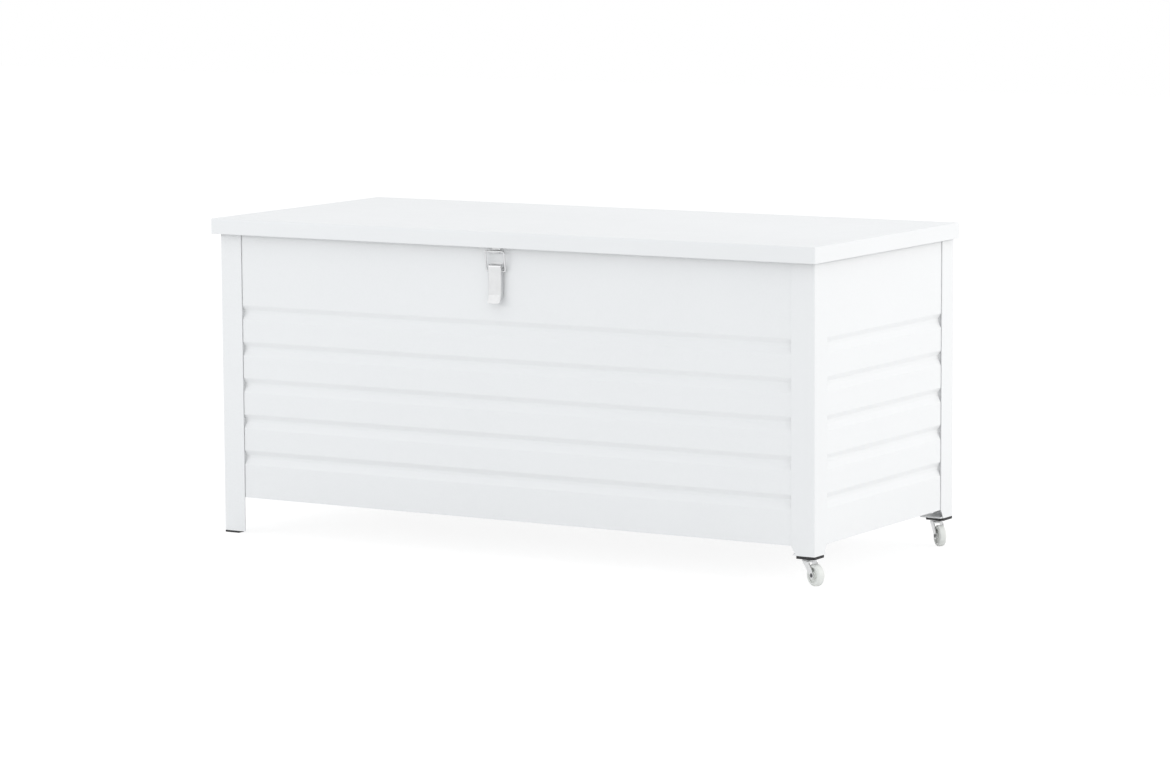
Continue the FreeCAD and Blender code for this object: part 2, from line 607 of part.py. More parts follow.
def wall_leaf(side, x):
    """The leaf on the wall, with two outer knuckles that hold the pin."""
    wall_face = "(hinge_gap + knuckle_radius + rear_overhang + post_sheet)"
    half_gap = "(knuckle_length / 2 + running_gap)"
    tab = "(hinge_width / 2 - knuckle_length / 2 - running_gap)"
    name = "hinge_leaf_body_" + side
    plate_size = ("hinge_width", "hinge_sheet", f"hinge_body_leaf - {hinge_step}")
    pieces = [block(name + "_plate", plate_size, ("-hinge_width / 2", f"-{wall_face}", "-hinge_body_leaf"))]
    for hand, start in (("near", "(-hinge_width / 2)"), ("far", half_gap)):
        size = (tab, wall_face, "hinge_sheet")
        pieces.append(block(f"{name}_{hand}_step", size, (start, f"-{wall_face}", f"-{hinge_step}")))
        pieces.append(round_bar(f"{name}_{hand}_knuckle", "knuckle_radius", tab, (start, "0", "0"), "x"))
    bore = round_bar(name + "_bore", "hinge_pin_radius", "hinge_width", ("-hinge_width / 2", "0", "0"), "x")
    holes = leaf_holes(name, wall_face, f"-(hinge_body_leaf + {hinge_step}) / 2")
    leaf = without(name, joined(name + "_solid", pieces), [bore] + holes)
    place(leaf, (x, hinge_y, hinge_z))
    keep(leaf, name)


def lid_leaf(side, x):
    """The leaf on the lid, with one knuckle that turns on the pin."""
    face = "(hinge_gap + knuckle_radius)"
    name = "hinge_leaf_lid_" + side
    plate_size = ("hinge_width", "hinge_sheet", f"hinge_lid_leaf - {hinge_step}")
    pieces = [block(name + "_plate", plate_size, ("-hinge_width / 2", f"-{face}", hinge_step))]
    tab_at = ("-knuckle_length / 2", f"-{face}", "0")
    pieces.append(block(name + "_tab", ("knuckle_length", "hinge_sheet", hinge_step), tab_at))
    knuckle_at = ("-knuckle_length / 2", "0", "0")
    pieces.append(round_bar(name + "_knuckle", "knuckle_radius", "knuckle_length", knuckle_at, "x"))
    bore = round_bar(name + "_bore", "hinge_pin_radius + running_clearance", "knuckle_length", knuckle_at, "x")
    holes = leaf_holes(name, face, f"(hinge_lid_leaf + {hinge_step}) / 2")
    leaf = without(name, joined(name + "_solid", pieces), [bore] + holes)
    place(leaf, (x, hinge_y, hinge_z))
    keep(leaf, name)


def hinge_screw(name, x, head_y, z, grip):
    """A screw from behind: its head's seat at head_y, its shank running to the front."""
    head = round_bar(name + "_head", "screw_head_radius", "screw_head", (x, head_y, z), "y")
    length = f"({grip} + screw_tail)"
    shank = round_bar(name + "_shank", "screw_radius", length, (x, f"{head_y} - {length}", z), "y")
    return joined(name, [head, shank])


def hinges():
    wall_seat = f"({panel_rear} + hinge_sheet)"
    lid_seat = f"({lid_rear} + hinge_sheet)"
    pins, wall_screws, lid_screws = [], [], []
    for side, sign in (("left", "-1"), ("middle", "0"), ("right", "1")):
        x = f"({sign} * {hinge_x})"
        wall_leaf(side, x)
        lid_leaf(side, x)
        pin_at = (f"{x} - hinge_width / 2", hinge_y, hinge_z)
        pins.append(round_bar("hinge_pin_" + side, "hinge_pin_radius", "hinge_width", pin_at, "x"))
        for hand, way in (("near", "-1"), ("far", "1")):
            across = f"{x} + {way} * hinge_screw_spacing / 2"
            low = f"{hinge_z} - (hinge_body_leaf + {hinge_step}) / 2"
            high = f"{hinge_z} + (hinge_lid_leaf + {hinge_step}) / 2"
            wall_grip, lid_grip = "hinge_sheet + panel_sheet", "hinge_sheet + lid_sheet"
            wall_screws.append(hinge_screw(f"wall_screw_{side}_{hand}", across, wall_seat, low, wall_grip))
            lid_screws.append(hinge_screw(f"lid_screw_{side}_{hand}", across, lid_seat, high, lid_grip))
    keep(together("hinge_pins", pins), "hinge_pins")
    keep(together("hinge_screws_body", wall_screws), "hinge_screws_body")
    keep(together("hinge_screws_lid", lid_screws), "hinge_screws_lid")


def corner_screw(name, seat, outward, across, height, along):
    """A screw from inside: its head on the panel, its shank through the panel into the post."""
    length = "(panel_sheet + corner_screw_bite)"
    inner = f"({seat} - corner_screw_head)" if outward == "1" else seat
    outer = seat if outward == "1" else f"({seat} - {length})"
    places = [(inner, across), (outer, across)] if along == "x" else [(across, inner), (across, outer)]
    head_size = ("corner_screw_head_radius", "corner_screw_head")
    head = round_bar(name + "_head", *head_size, places[0] + (height,), along)
    shank = round_bar(name + "_shank", "corner_screw_radius", length, places[1] + (height,), along)
    return joined(name, [head, shank])


def corner_screws():
    """Screws through the flat parts of the walls, one beside each post's flange."""
    pieces = []
    for end, side_way in (("left", "-1"), ("right", "1")):
        side_seat = f"({side_way} * ({body_side} - {wall}))"
        x = f"{side_way} * ({body_side} - corner_screw_inset)"
        for row, face, row_way in (("front", body_front, "-1"), ("rear", body_rear, "1")):
            row_seat = f"({face} - {row_way} * {wall})"
            y = f"{face} - {row_way} * corner_screw_inset"
            for index, height in enumerate(land_heights()):
                name = f"corner_screw_{row}_{end}_{index}"
                pieces.append(corner_screw(name + "_along_y", row_seat, row_way, x, height, "y"))
                pieces.append(corner_screw(name + "_along_x", side_seat, side_way, y, height, "x"))
    keep(together("corner_screws", pieces), "corner_screws")


def gas_wall_bracket(side, sign):
    """A strip from floor to rim, against the wall's ridges, with a stud for the cylinder's eye."""
    name = "gas_bracket_wall_" + side
    depth = f"(gas_inset - {wall} - groove_depth)"
    eye = "(gas_eye_width / 2 + running_gap)"
    foot = f"({rail_low} + rail_sheet + floor_sheet)"
    size = ("gas_bracket_sheet", "gas_bracket_size", f"{body_top} - rail_sheet - {foot}")
    plate_at = (f"{depth} - gas_bracket_sheet", "-gas_bracket_size / 2", f"{foot} - {gas_wall_z}")
    plate = block(name + "_plate", size, plate_at)
    boss = round_bar(name + "_boss", "gas_boss_radius", f"{depth} - {eye}", (eye, "0", "0"), "x")
    stud = round_bar(name + "_stud", "gas_stud_radius", f"2 * {eye}", (f"-{eye}", "0", "0"), "x")
    head = round_bar(name + "_head", "gas_stud_head_radius", "gas_stud_head",
                     (f"-{eye} - gas_stud_head", "0", "0"), "x")
    bracket = joined(name, [plate, boss, stud, head])
    place(bracket, (f"{sign} * {gas_x}", gas_wall_y, gas_wall_z), (0, 0, 1), "0" if sign == "1" else "180")
    keep(bracket, name)


def gas_lid_bracket(side, sign):
    """A plate under the lid with an ear and a headed stud for the rod's eye."""
    name = "gas_bracket_lid_" + side
    eye = "(gas_eye_width / 2 + running_gap)"
    half = "(gas_bracket_size / 2)"
    ear_half = "gas_boss_radius"
    plate = block(name + "_plate", (half, "gas_bracket_size", "gas_bracket_sheet"),
                  (f"-{eye} - {half}", f"-{half}", "gas_lid_drop - gas_bracket_sheet"))
    ear = block(name + "_ear", ("gas_bracket_sheet", f"2 * {ear_half}", "gas_lid_drop"),
                (f"-{eye} - gas_bracket_sheet", f"-{ear_half}", "0"))
    ear_at = (f"-{eye} - gas_bracket_sheet", "0", "0")
    ear_end = round_bar(name + "_ear_end", ear_half, "gas_bracket_sheet", ear_at, "x")
    stud = round_bar(name + "_stud", "gas_stud_radius", f"2 * {eye}", (f"-{eye}", "0", "0"), "x")
    head = round_bar(name + "_head", "gas_stud_head_radius", "gas_stud_head", (eye, "0", "0"), "x")
    bracket = joined(name, [plate, ear, ear_end, stud, head])
    place(bracket, (f"{sign} * {gas_x}", gas_lid_y, gas_lid_z), (0, 0, 1), "0" if sign == "1" else "180")
    keep(bracket, name)


def gas_cylinder(side, sign):
    """A tube along +Z from the wall pivot, hollow for the rod, with a guide at its mouth."""
    name = "gas_cylinder_" + side
    ring = round_bar(name + "_ring", "gas_eye_radius", "gas_eye_width", ("-gas_eye_width / 2", "0", "0"), "x")
    neck = round_bar(name + "_neck", "gas_rod_radius", "gas_tube_start + gas_rod_radius", ("0", "0", "0"))
    tube_at = ("0", "0", "gas_tube_start")
    tube = round_bar(name + "_tube", "gas_tube_radius", f"{gas_tube_end} - gas_tube_start", tube_at)
    hollow_start = f"({gas_shut} - {gas_rod_length} - gas_end_gap)"
    hollow = round_bar(name + "_hollow", "gas_tube_radius - gas_tube_wall",
                       f"{gas_tube_end} - gas_guide - {hollow_start}", ("0", "0", hollow_start))
    guide = round_bar(name + "_guide", "gas_rod_radius + gas_piston_gap", "2 * gas_guide",
                      ("0", "0", f"{gas_tube_end} - 1.5 * gas_guide"))
    bore = round_bar(name + "_bore", "gas_stud_radius + running_clearance", "gas_eye_width",
                     ("-gas_eye_width / 2", "0", "0"), "x")
    cylinder = without(name, joined(name + "_solid", [ring, neck, tube]), [hollow, guide, bore])
    place(cylinder, (f"{sign} * {gas_x}", gas_wall_y, gas_wall_z), (1, 0, 0), gas_tilt)
    keep(cylinder, name)


def gas_rod(side, sign):
    """A rod along -Z from the lid pivot, with a piston that stays in the tube when the lid is open."""
    name = "gas_rod_" + side
    ring = round_bar(name + "_ring", "gas_eye_radius", "gas_eye_width", ("-gas_eye_width / 2", "0", "0"), "x")
    bar = round_bar(name + "_bar", "gas_rod_radius", gas_rod_length, ("0", "0", f"-{gas_rod_length}"))
    piston = round_bar(name + "_piston", "gas_tube_radius - gas_tube_wall - gas_piston_gap", "gas_piston",
                       ("0", "0", f"-{gas_rod_length}"))
    bore = round_bar(name + "_bore", "gas_stud_radius + running_clearance", "gas_eye_width",
                     ("-gas_eye_width / 2", "0", "0"), "x")
    rod = without(name, joined(name + "_solid", [ring, bar, piston]), [bore])
    place(rod, (f"{sign} * {gas_x}", gas_lid_y, gas_lid_z), (1, 0, 0), gas_tilt)
    keep(rod, name)


def gas_springs():
    for side, sign in (("left", "-1"), ("right", "1")):
        gas_wall_bracket(side, sign)
        gas_lid_bracket(side, sign)
        gas_cylinder(side, sign)
        gas_rod(side, sign)


def latch_base():
    """A plate on the front panel with two ears that carry the lever's pin."""
    half = "(latch_base_width / 2)"
    ear_length = "(latch_pivot_out - latch_base_sheet)"
    size = ("latch_base_width", "latch_base_sheet", "latch_base_above + latch_base_below")
    pieces = [block("latch_base_plate", size, (f"-{half}", ear_length, "-latch_base_below"))]
    for hand, start in (("near", f"(-{half})"), ("far", f"({half} - latch_ear_sheet)")):
        ear_size = ("latch_ear_sheet", ear_length, "2 * latch_ear_radius")
        pieces.append(block(f"latch_ear_{hand}", ear_size, (start, "0", "-latch_ear_radius")))
        end = round_bar(f"latch_ear_{hand}_end", "latch_ear_radius", "latch_ear_sheet", (start, "0", "0"), "x")
        pieces.append(end)
    holes = [round_bar("latch_base_bore", "latch_pin_radius", "latch_base_width", (f"-{half}", "0", "0"), "x")]
    for index in range(2):
        at = ("0", ear_length, f"-rivet_first_drop - {index} * rivet_spacing")
        holes.append(round_bar(f"latch_rivet_hole_{index}", "rivet_radius", "latch_base_sheet", at, "y"))
    base = without("latch_base", joined("latch_base_solid", pieces), holes)
    place(base, (latch_x, latch_y, latch_z))
    keep(base, "latch_base")


def latch_rivets():
    pieces = []
    grip = "(latch_base_sheet + panel_sheet)"
    for index in range(2):
        z = f"{latch_z} - rivet_first_drop - {index} * rivet_spacing"
        seat = f"({panel_front} - latch_base_sheet)"
        head_at = (latch_x, f"{seat} - rivet_head", z)
        head = round_bar(f"rivet_{index}_head", "rivet_head_radius", "rivet_head", head_at, "y")
        shank = round_bar(f"rivet_{index}_shank", "rivet_radius", grip, (latch_x, seat, z), "y")
        tail_at = (latch_x, f"{seat} + {grip}", z)
        tail = round_bar(f"rivet_{index}_tail", "rivet_head_radius", "rivet_head", tail_at, "y")
        pieces.append(joined(f"rivet_{index}", [head, shank, tail]))
    keep(together("latch_rivets", pieces), "latch_rivets")


def latch_pin():
    reach = f"({lever_half} + running_gap)"
    bar = round_bar("latch_pin_bar", "latch_pin_radius", f"2 * {reach}", (f"-{reach}", "0", "0"), "x")
    near_at = (f"-{reach} - latch_pin_head", "0", "0")
    near = round_bar("latch_pin_near", "latch_pin_head_radius", "latch_pin_head", near_at, "x")
    far = round_bar("latch_pin_far", "latch_pin_head_radius", "latch_pin_head", (reach, "0", "0"), "x")
    pin = joined("latch_pin", [bar, near, far])
    place(pin, (latch_x, latch_y, latch_z))
    keep(pin, "latch_pin")


def latch_lever():
    """A channel with a curled finger lip: its web outside, its flanges round the base's ears."""
    half = lever_half
    out = "(lever_web_out + lever_sheet)"
    curl = [("0", "0"), ("0.12", "0.22"), ("0.65", "0.61"), ("1", "1")]
    outside = [(f"-{out}", "-lever_web_start")]
    outside += [(f"-{out} - {a} * lever_lip_out", f"-lever_web_end - {b} * lever_lip_drop") for a, b in curl]
    inside = [(f"{across} + lever_sheet", up) for across, up in reversed(outside)]
    web = pressed("latch_lever_web", "YZ_Plane", outside + inside, f"2 * {half}")
    flange = [(f"-{out}", "-lever_flange_end"), (f"-{out} + 2 * lever_sheet", "-lever_flange_end")]
    flange += [("lever_flange_in", "-2 * bow_pivot_drop"), ("lever_flange_in", "0")]
    flange += [("0", "0"), (f"-{out}", "-lever_web_start")]
    pieces = [web]
    for hand, start in (("near", f"(-{half})"), ("far", f"({half} - lever_sheet)")):
        cheek = pressed(f"latch_lever_{hand}", "YZ_Plane", flange, "lever_sheet")
        place(cheek, (f"{start} + lever_sheet / 2", "0", "0"))
        boss = round_bar(f"latch_lever_{hand}_boss", "lever_boss_radius", "lever_sheet", (start, "0", "0"), "x")
        pieces += [cheek, boss]
    pin_bore = round_bar("latch_lever_bore", "latch_pin_radius + running_clearance", f"2 * {half}",
                         (f"-{half}", "0", "0"), "x")
    bow_bore = round_bar("latch_lever_bow_bore", "bow_wire_radius + running_clearance", f"2 * {half}",
                         (f"-{half}", "bow_pivot_in", "-bow_pivot_drop"), "x")
    lever = without("latch_lever", joined("latch_lever_solid", pieces), [pin_bore, bow_bore])
    place(lever, (latch_x, latch_y, latch_z))
    keep(lever, "latch_lever")


def bow_bend(name, at, turn):
    """A quarter turn of the wire in the XZ plane."""
    bend = document.addObject("Part::Torus", name)
    bind(bend, {"Radius1": "bow_bend_radius", "Radius2": "bow_wire_radius"})
    bend.Angle3 = 90
    upright = FreeCAD.Rotation(FreeCAD.Vector(1, 0, 0), 90)
    turned = FreeCAD.Rotation(FreeCAD.Vector(0, 1, 0), -turn) * upright
    bend.Placement = FreeCAD.Placement(FreeCAD.Vector(), turned)
    bind(bend, {f"Placement.Base.{letter}": text for letter, text in zip("xyz", at)})
    return bend


def latch_bow():
    """A wire loop: two pins in the lever, two legs and a top bar, upright before it leans out."""
    reach = "(bow_half_width - bow_bend_radius)"
    pin_end = f"({lever_half} - lever_sheet - bow_end)"
    high = "(bow_height - bow_bend_radius)"
    bar = round_bar("bow_bar", "bow_wire_radius", f"2 * {reach}", (f"-{reach}", "0", "bow_height"), "x")
    pieces = [bar]
    for hand, sign in (("near", "-1"), ("far", "1")):
        leg_at = (f"{sign} * bow_half_width", "0", "bow_bend_radius")
        pieces.append(round_bar(f"bow_leg_{hand}", "bow_wire_radius", f"{high} - bow_bend_radius", leg_at))
        start = f"-{reach}" if sign == "-1" else pin_end
        pin = round_bar(f"bow_pin_{hand}", "bow_wire_radius", f"{reach} - {pin_end}", (start, "0", "0"), "x")
        upper = bow_bend(f"bow_bend_upper_{hand}", (f"{sign} * {reach}", "0", high), 90 if sign == "-1" else 0)
        lower = bow_bend(f"bow_bend_lower_{hand}", (f"{sign} * {reach}", "0", "bow_bend_radius"),
                         180 if sign == "-1" else 270)
        pieces += [pin, upper, lower]
    bow = joined("latch_bow", pieces)
    place(bow, (latch_x, bow_y, bow_z), (1, 0, 0), "bow_tilt")
    keep(bow, "latch_bow")


def latch_catch():
    """A hook under the lid: a flange on the lid, a neck, and a lip that stands behind the bow's bar."""
    tip = f"({bar_out} - bow_wire_radius - catch_gap)"
    neck, back = "catch_neck_out", "(catch_neck_out + catch_sheet)"
    low = f"({bar_z} - catch_hook_drop)"
    high = f"({bar_z} + catch_lip_rise)"
    corners = [(neck, lid_under), (neck, low), (tip, low), (tip, high), (f"{tip} - catch_sheet", high)]
    corners += [(f"{tip} - catch_sheet", f"{low} + catch_sheet"), (back, f"{low} + catch_sheet")]
    corners += [(back, f"{lid_under} - catch_sheet"), ("catch_flange_out", f"{lid_under} - catch_sheet")]
    corners += [("catch_flange_out", lid_under)]
    mirrored = [(f"-({out})", up) for out, up in corners]
    catch = pressed("latch_catch", "YZ_Plane", mirrored, "catch_width")
    place(catch, (latch_x, panel_front, "0"))
    keep(catch, "latch_catch")


def latch():
    latch_base()
    latch_rivets()
    latch_pin()
    latch_lever()
    latch_bow()
    latch_catch()


def check_model():
    """Stop if any object failed or any sub-part is missing or broken."""
    for thing in document.Objects:
        if {"Invalid", "Error"} & set(thing.State):
            raise RuntimeError(f"{thing.Name} failed: {thing.State}")
    for thing in subparts:
        if thing.Shape.isNull() or not thing.Shape.isValid() or not thing.Shape.Solids:
            raise RuntimeError(f"{thing.Label} has no sound solid")


def write_parts():
    os.makedirs("parts", exist_ok=True)
    for thing in subparts:
        thing.Shape.exportStep(f"parts/{thing.Label}.step")
        box = thing.Shape.BoundBox
        print(f"{thing.Label:26s} solids {len(thing.Shape.Solids):3d} volume {thing.Shape.Volume:12.1f}",
              f"x {box.XMin:8.2f} {box.XMax:8.2f} y {box.YMin:8.2f} {box.YMax:8.2f}",
              f"z {box.ZMin:7.2f} {box.ZMax:7.2f}")


fill_sheet()
wall_panels()
corner_posts()
rails()
floor_panel()
lid_shell()
lid_stiffeners()
lid_bumpers()
foot_pads()
castors()
hinges()
corner_screws()
gas_springs()
latch()
document.recompute()
check_model()
write_parts()
print(len(subparts), "sub-parts")
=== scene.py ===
"""Cushion storage box: the visible surfaces of a coated steel box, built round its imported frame. Metres, Z
up."""

import json
import math

import bmesh
import bpy
import numpy as np
from mathutils import Matrix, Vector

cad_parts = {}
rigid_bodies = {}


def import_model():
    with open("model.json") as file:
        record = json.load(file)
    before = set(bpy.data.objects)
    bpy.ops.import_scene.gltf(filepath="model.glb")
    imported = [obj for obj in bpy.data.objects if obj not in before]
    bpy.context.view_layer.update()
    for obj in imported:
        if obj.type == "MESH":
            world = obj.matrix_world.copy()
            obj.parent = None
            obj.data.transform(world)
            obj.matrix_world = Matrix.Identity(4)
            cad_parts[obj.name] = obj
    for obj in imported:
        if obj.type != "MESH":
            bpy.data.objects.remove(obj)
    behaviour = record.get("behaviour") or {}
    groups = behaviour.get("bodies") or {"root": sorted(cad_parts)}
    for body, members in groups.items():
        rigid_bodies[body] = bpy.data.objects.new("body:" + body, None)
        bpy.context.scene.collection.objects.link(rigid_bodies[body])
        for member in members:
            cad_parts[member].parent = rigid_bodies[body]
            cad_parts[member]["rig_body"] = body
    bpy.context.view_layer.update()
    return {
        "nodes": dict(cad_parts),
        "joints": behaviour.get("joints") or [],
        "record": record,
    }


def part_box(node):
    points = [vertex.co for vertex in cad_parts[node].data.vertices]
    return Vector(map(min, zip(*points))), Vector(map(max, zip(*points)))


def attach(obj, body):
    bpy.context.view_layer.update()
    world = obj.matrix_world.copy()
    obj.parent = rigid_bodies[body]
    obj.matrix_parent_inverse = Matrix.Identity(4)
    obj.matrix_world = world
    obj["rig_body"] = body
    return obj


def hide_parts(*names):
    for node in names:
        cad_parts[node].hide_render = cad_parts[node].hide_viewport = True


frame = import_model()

bl_info = {
    "name": "Cushion storage box",
    "version": (1, 0, 0),
    "blender": (4, 5, 0),
    "location": "View3D > Sidebar > Cushion box",
    "description": "Builds the walls, lid, latch, castors and finishes of a metal cushion box",
    "category": "Object",
}

X, Y, Z = np.eye(3)
LEVEL = X + Y  # a place times this has no height
FULL_TURN = 2 * math.pi
MILLIMETRE = 0.001
BEARING = 0.00006  # air between a pin and its bore
SHARP = math.radians(38)  # an edge that turns by more than this is shaded sharp
MIX_FACTOR, MIX_A, MIX_B, MIX_OUT = 0, 6, 7, 2  # sockets of a node that mixes colours
SIDES = (("left", -1), ("right", 1))
ROWS = (("front", -1), ("rear", 1))
HINGE_PLACES = ("left", "middle", "right")


# ---------------------------------------------------------------- sizes and colours

def length(name, about, metres):
    """A length that a user may change, in metres."""
    return bpy.props.FloatProperty(name=name, description=about, default=metres, min=0.0, precision=5,
                                   unit="LENGTH")


def angle(name, about, degrees):
    """An angle that a user may change."""
    return bpy.props.FloatProperty(name=name, description=about, default=math.radians(degrees),
                                   subtype="ANGLE")


def share(name, about, value, high=1.0):
    """A plain number that a user may change."""
    return bpy.props.FloatProperty(name=name, description=about, default=value, min=0.0, max=high,
                                   precision=4)


def count(name, about, value):
    """A number of like things that a user may change."""
    return bpy.props.IntProperty(name=name, description=about, default=value, min=1)


def colour(name, about, value):
    """A colour that a user may change, in linear values."""
    return bpy.props.FloatVectorProperty(name=name, description=about, default=value, subtype="COLOR", min=0,
                                         max=1)


class SheetSizes(bpy.types.PropertyGroup):
    """Sheet metal of the walls, posts, rails, floor and lid."""
    panel_sheet: length("Wall sheet", "Thickness of a wall panel", 0.0012)
    panel_slot: length("Wall slot", "Depth of the bead pressed along a post's flange", 0.0016)
    groove_bend: length("Groove bend", "Radius of the bends of a groove", 0.004)
    groove_depth: length("Groove depth", "How far a groove is pressed in", 0.006)
    groove_height: length("Groove height", "Height of a groove at the wall's face", 0.028)
    groove_upper_slope: length("Upper slope", "Height of a groove's upper slope", 0.009)
    groove_lower_slope: length("Lower slope", "Height of a groove's lower slope", 0.013)
    groove_drop: length("First groove", "Top of the wall to the first groove", 0.158)
    groove_pitch: length("Groove pitch", "Groove to groove", 0.0706)
    groove_count: count("Grooves", "Number of grooves in a wall", 5)
    post_sheet: length("Post sheet", "Thickness of a post's and a rail's flanges", 0.002)
    post_bend: length("Post bend", "Outer radius of a post's bend", 0.0025)
    post_end_flange: length("Post end flange", "Flange width where a post meets its castor", 0.0375)
    cut_edge: length("Cut edge", "Rounding of the sheet's cut edges under the coat", 0.0003)
    lid_sheet: length("Lid sheet", "Thickness of the lid", 0.0012)
    lid_bend: length("Lid bend", "Outer radius of the lid's bends", 0.003)
    lid_hem: length("Lid hem", "Height of the edge folded back inside the skirt", 0.009)
    hem_gap: length("Hem gap", "Air between the skirt and its hem", 0.0002)
    channel_bend: length("Channel bend", "Outer radius of a lid stiffener's bends", 0.0025)
    floor_bead: length("Floor bead", "Height of the floor's pressed beads", 0.0016)
    floor_bead_width: length("Bead width", "Width of a pressed bead", 0.022)
    floor_beads: count("Floor beads", "Number of pressed beads across the floor", 9)
    floor_border: length("Floor border", "Floor's front and rear edge to where the beads start", 0.03)
    floor_fade: length("Bead end", "Length over which a bead rises at its ends", 0.024)


class FastenerSizes(bpy.types.PropertyGroup):
    """Screws, hinge leaves and bumpers."""
    screw: length("Screw radius", "Radius of a hinge screw", 0.0016)
    screw_head: length("Screw head", "Radius of a hinge screw's head", 0.0032)
    screw_rise: length("Head height", "Height of a screw's head", 0.0016)
    screw_step: length("Screw step", "Screw to screw on a leaf", 0.036)
    screw_length: length("Screw length", "Length of a hinge screw's shank", 0.0062)
    corner_head: length("Corner screw head", "Radius of a corner screw's head", 0.004)
    corner_rise: length("Corner head height", "Height of a corner screw's head", 0.002)
    corner_inset: length("Corner screw inset", "Corner screw in from a post's outer corner", 0.034)
    corner_shank: length("Corner screw radius", "Radius of a corner screw's shank", 0.0019)
    corner_bite: length("Corner screw bite", "How far a corner screw goes into the post", 0.0016)
    corner_recess_depth: length("Corner recess depth", "Depth of a corner screw's recess", 0.00132)
    corner_recess_width: length("Corner recess width", "Half width of an arm of that recess", 0.0006875)
    thread_pitch: length("Thread pitch", "Turn to turn of a screw's thread", 0.0008)
    body_leaf: length("Body leaf", "Hinge axis to the body leaf's lower edge", 0.035)
    lid_leaf: length("Lid leaf", "Hinge axis to the lid leaf's upper edge", 0.027)
    leaf_step: length("Leaf step", "Hinge axis to where a leaf's tabs start", 0.0055)
    tab_half: length("Tab half", "Half length of the lid leaf's knuckle", 0.0098)
    knuckle_gap: length("Knuckle gap", "Air between knuckles", 0.0003)
    bumper_tip: length("Bumper tip", "Radius of a bumper's upper end", 0.0066)
    bumper_foot: length("Bumper foot", "Radius of a bumper's foot", 0.008)
    bumper_flange: length("Bumper flange", "Height of a bumper's foot", 0.0015)
    bumper_well: length("Bumper well", "Radius and depth of a bumper's screw well", 0.003)
    recess_depth: length("Recess depth", "Depth of a screw's cross recess", 0.0011)
    recess_width: length("Recess width", "Half width of an arm of the recess", 0.00055)
    leaf_corner: length("Leaf corner", "Corner radius of a hinge leaf", 0.004)
    leaf_sheet: length("Leaf sheet", "Thickness of a hinge leaf", 0.002)
    knuckle_radius: length("Knuckle radius", "Outer radius of a hinge knuckle", 0.0045)
    pin_radius: length("Pin radius", "Radius of a hinge pin", 0.002)
    dome: share("Head dome", "Dome of a head as a share of its height", 0.45)


class LatchSizes(bpy.types.PropertyGroup):
    """Toggle latch: base, lever, wire bow and catch."""
    base_sheet: length("Base sheet", "Thickness of the base plate", 0.0015)
    base_width: length("Base width", "Width of the base plate", 0.025)
    base_corner: length("Base corner", "Corner radius of the base plate", 0.004)
    ear_radius: length("Ear end", "Radius of an ear's end round the pin", 0.003)
    ear_root: length("Ear root", "How far an ear reaches in along the base plate", 0.003)
    lever_sheet: length("Lever sheet", "Thickness of the lever, its cheeks and the ears", 0.0012)
    lever_half: length("Lever half width", "Middle of the lever to a cheek's outer face", 0.014)
    lever_web: length("Lever web", "Pin to the web's outer face", 0.004)
    lever_start: length("Web start", "Web's upper edge below the pin", 0.003)
    lever_crease: length("Lever crease", "Pin to the bend of the finger lip", 0.0535)
    lever_length: length("Lever length", "Pin to the lip's end", 0.068)
    lip_reach: length("Lip reach", "How far the finger lip stands out", 0.0052)
    lip_corner: length("Lip corner", "Corner radius of the finger lip", 0.005)
    cheek_depth: length("Cheek depth", "Pin to a cheek's inner edge", 0.0043)
    cheek_step: length("Cheek step", "Depth of a cheek at its lower end", 0.0024)
    cheek_shoulder: length("Cheek shoulder", "Pin to where a cheek starts to narrow", 0.051)
    cheek_end: length("Cheek end", "Pin to a cheek's lower end", 0.062)
    cheek_boss: length("Cheek boss", "Radius of a cheek round the pin", 0.0045)
    bend: length("Lever bend", "Outer radius of the lever's bends", 0.0018)
    pin_radius: length("Pin radius", "Radius of the lever's pin", 0.0015)
    pin_head: length("Pin head", "Radius of the pin's heads", 0.003)
    wire: length("Bow wire", "Radius of the bow's wire", 0.00175)
    bow_height: length("Bow height", "Bow's pivot to its top bar", 0.038)
    bow_half: length("Bow half width", "Middle of the bow to a leg's centre", 0.0205)
    bow_bend: length("Bow bend", "Bend of the wire, to its centre", 0.004)
    bow_tilt: angle("Bow tilt", "Lean of the bow from upright", 8.8)
    bow_play: length("Bow play", "Lever's cheek to the end of the bow's wire", 0.0009)
    hook_play: length("Hook play", "Bow's wire to the catch's lip when shut", 0.00035)
    hook_lip: length("Hook lip", "Middle of the bow's top bar to the lip's upper edge", 0.002)
    catch_sheet: length("Catch sheet", "Thickness of the catch", 0.0014)
    catch_neck: length("Catch neck", "Front panel to the catch's neck", 0.0035)
    rivet: length("Rivet radius", "Radius of a rivet's shank", 0.002)
    rivet_head: length("Rivet head", "Radius of a rivet's head", 0.0035)
    rivet_height: length("Rivet height", "Height of a rivet's head", 0.0015)
    rivet_drop: length("First rivet", "Pin to the upper rivet", 0.016)
    rivet_step: length("Rivet step", "Rivet to rivet", 0.022)


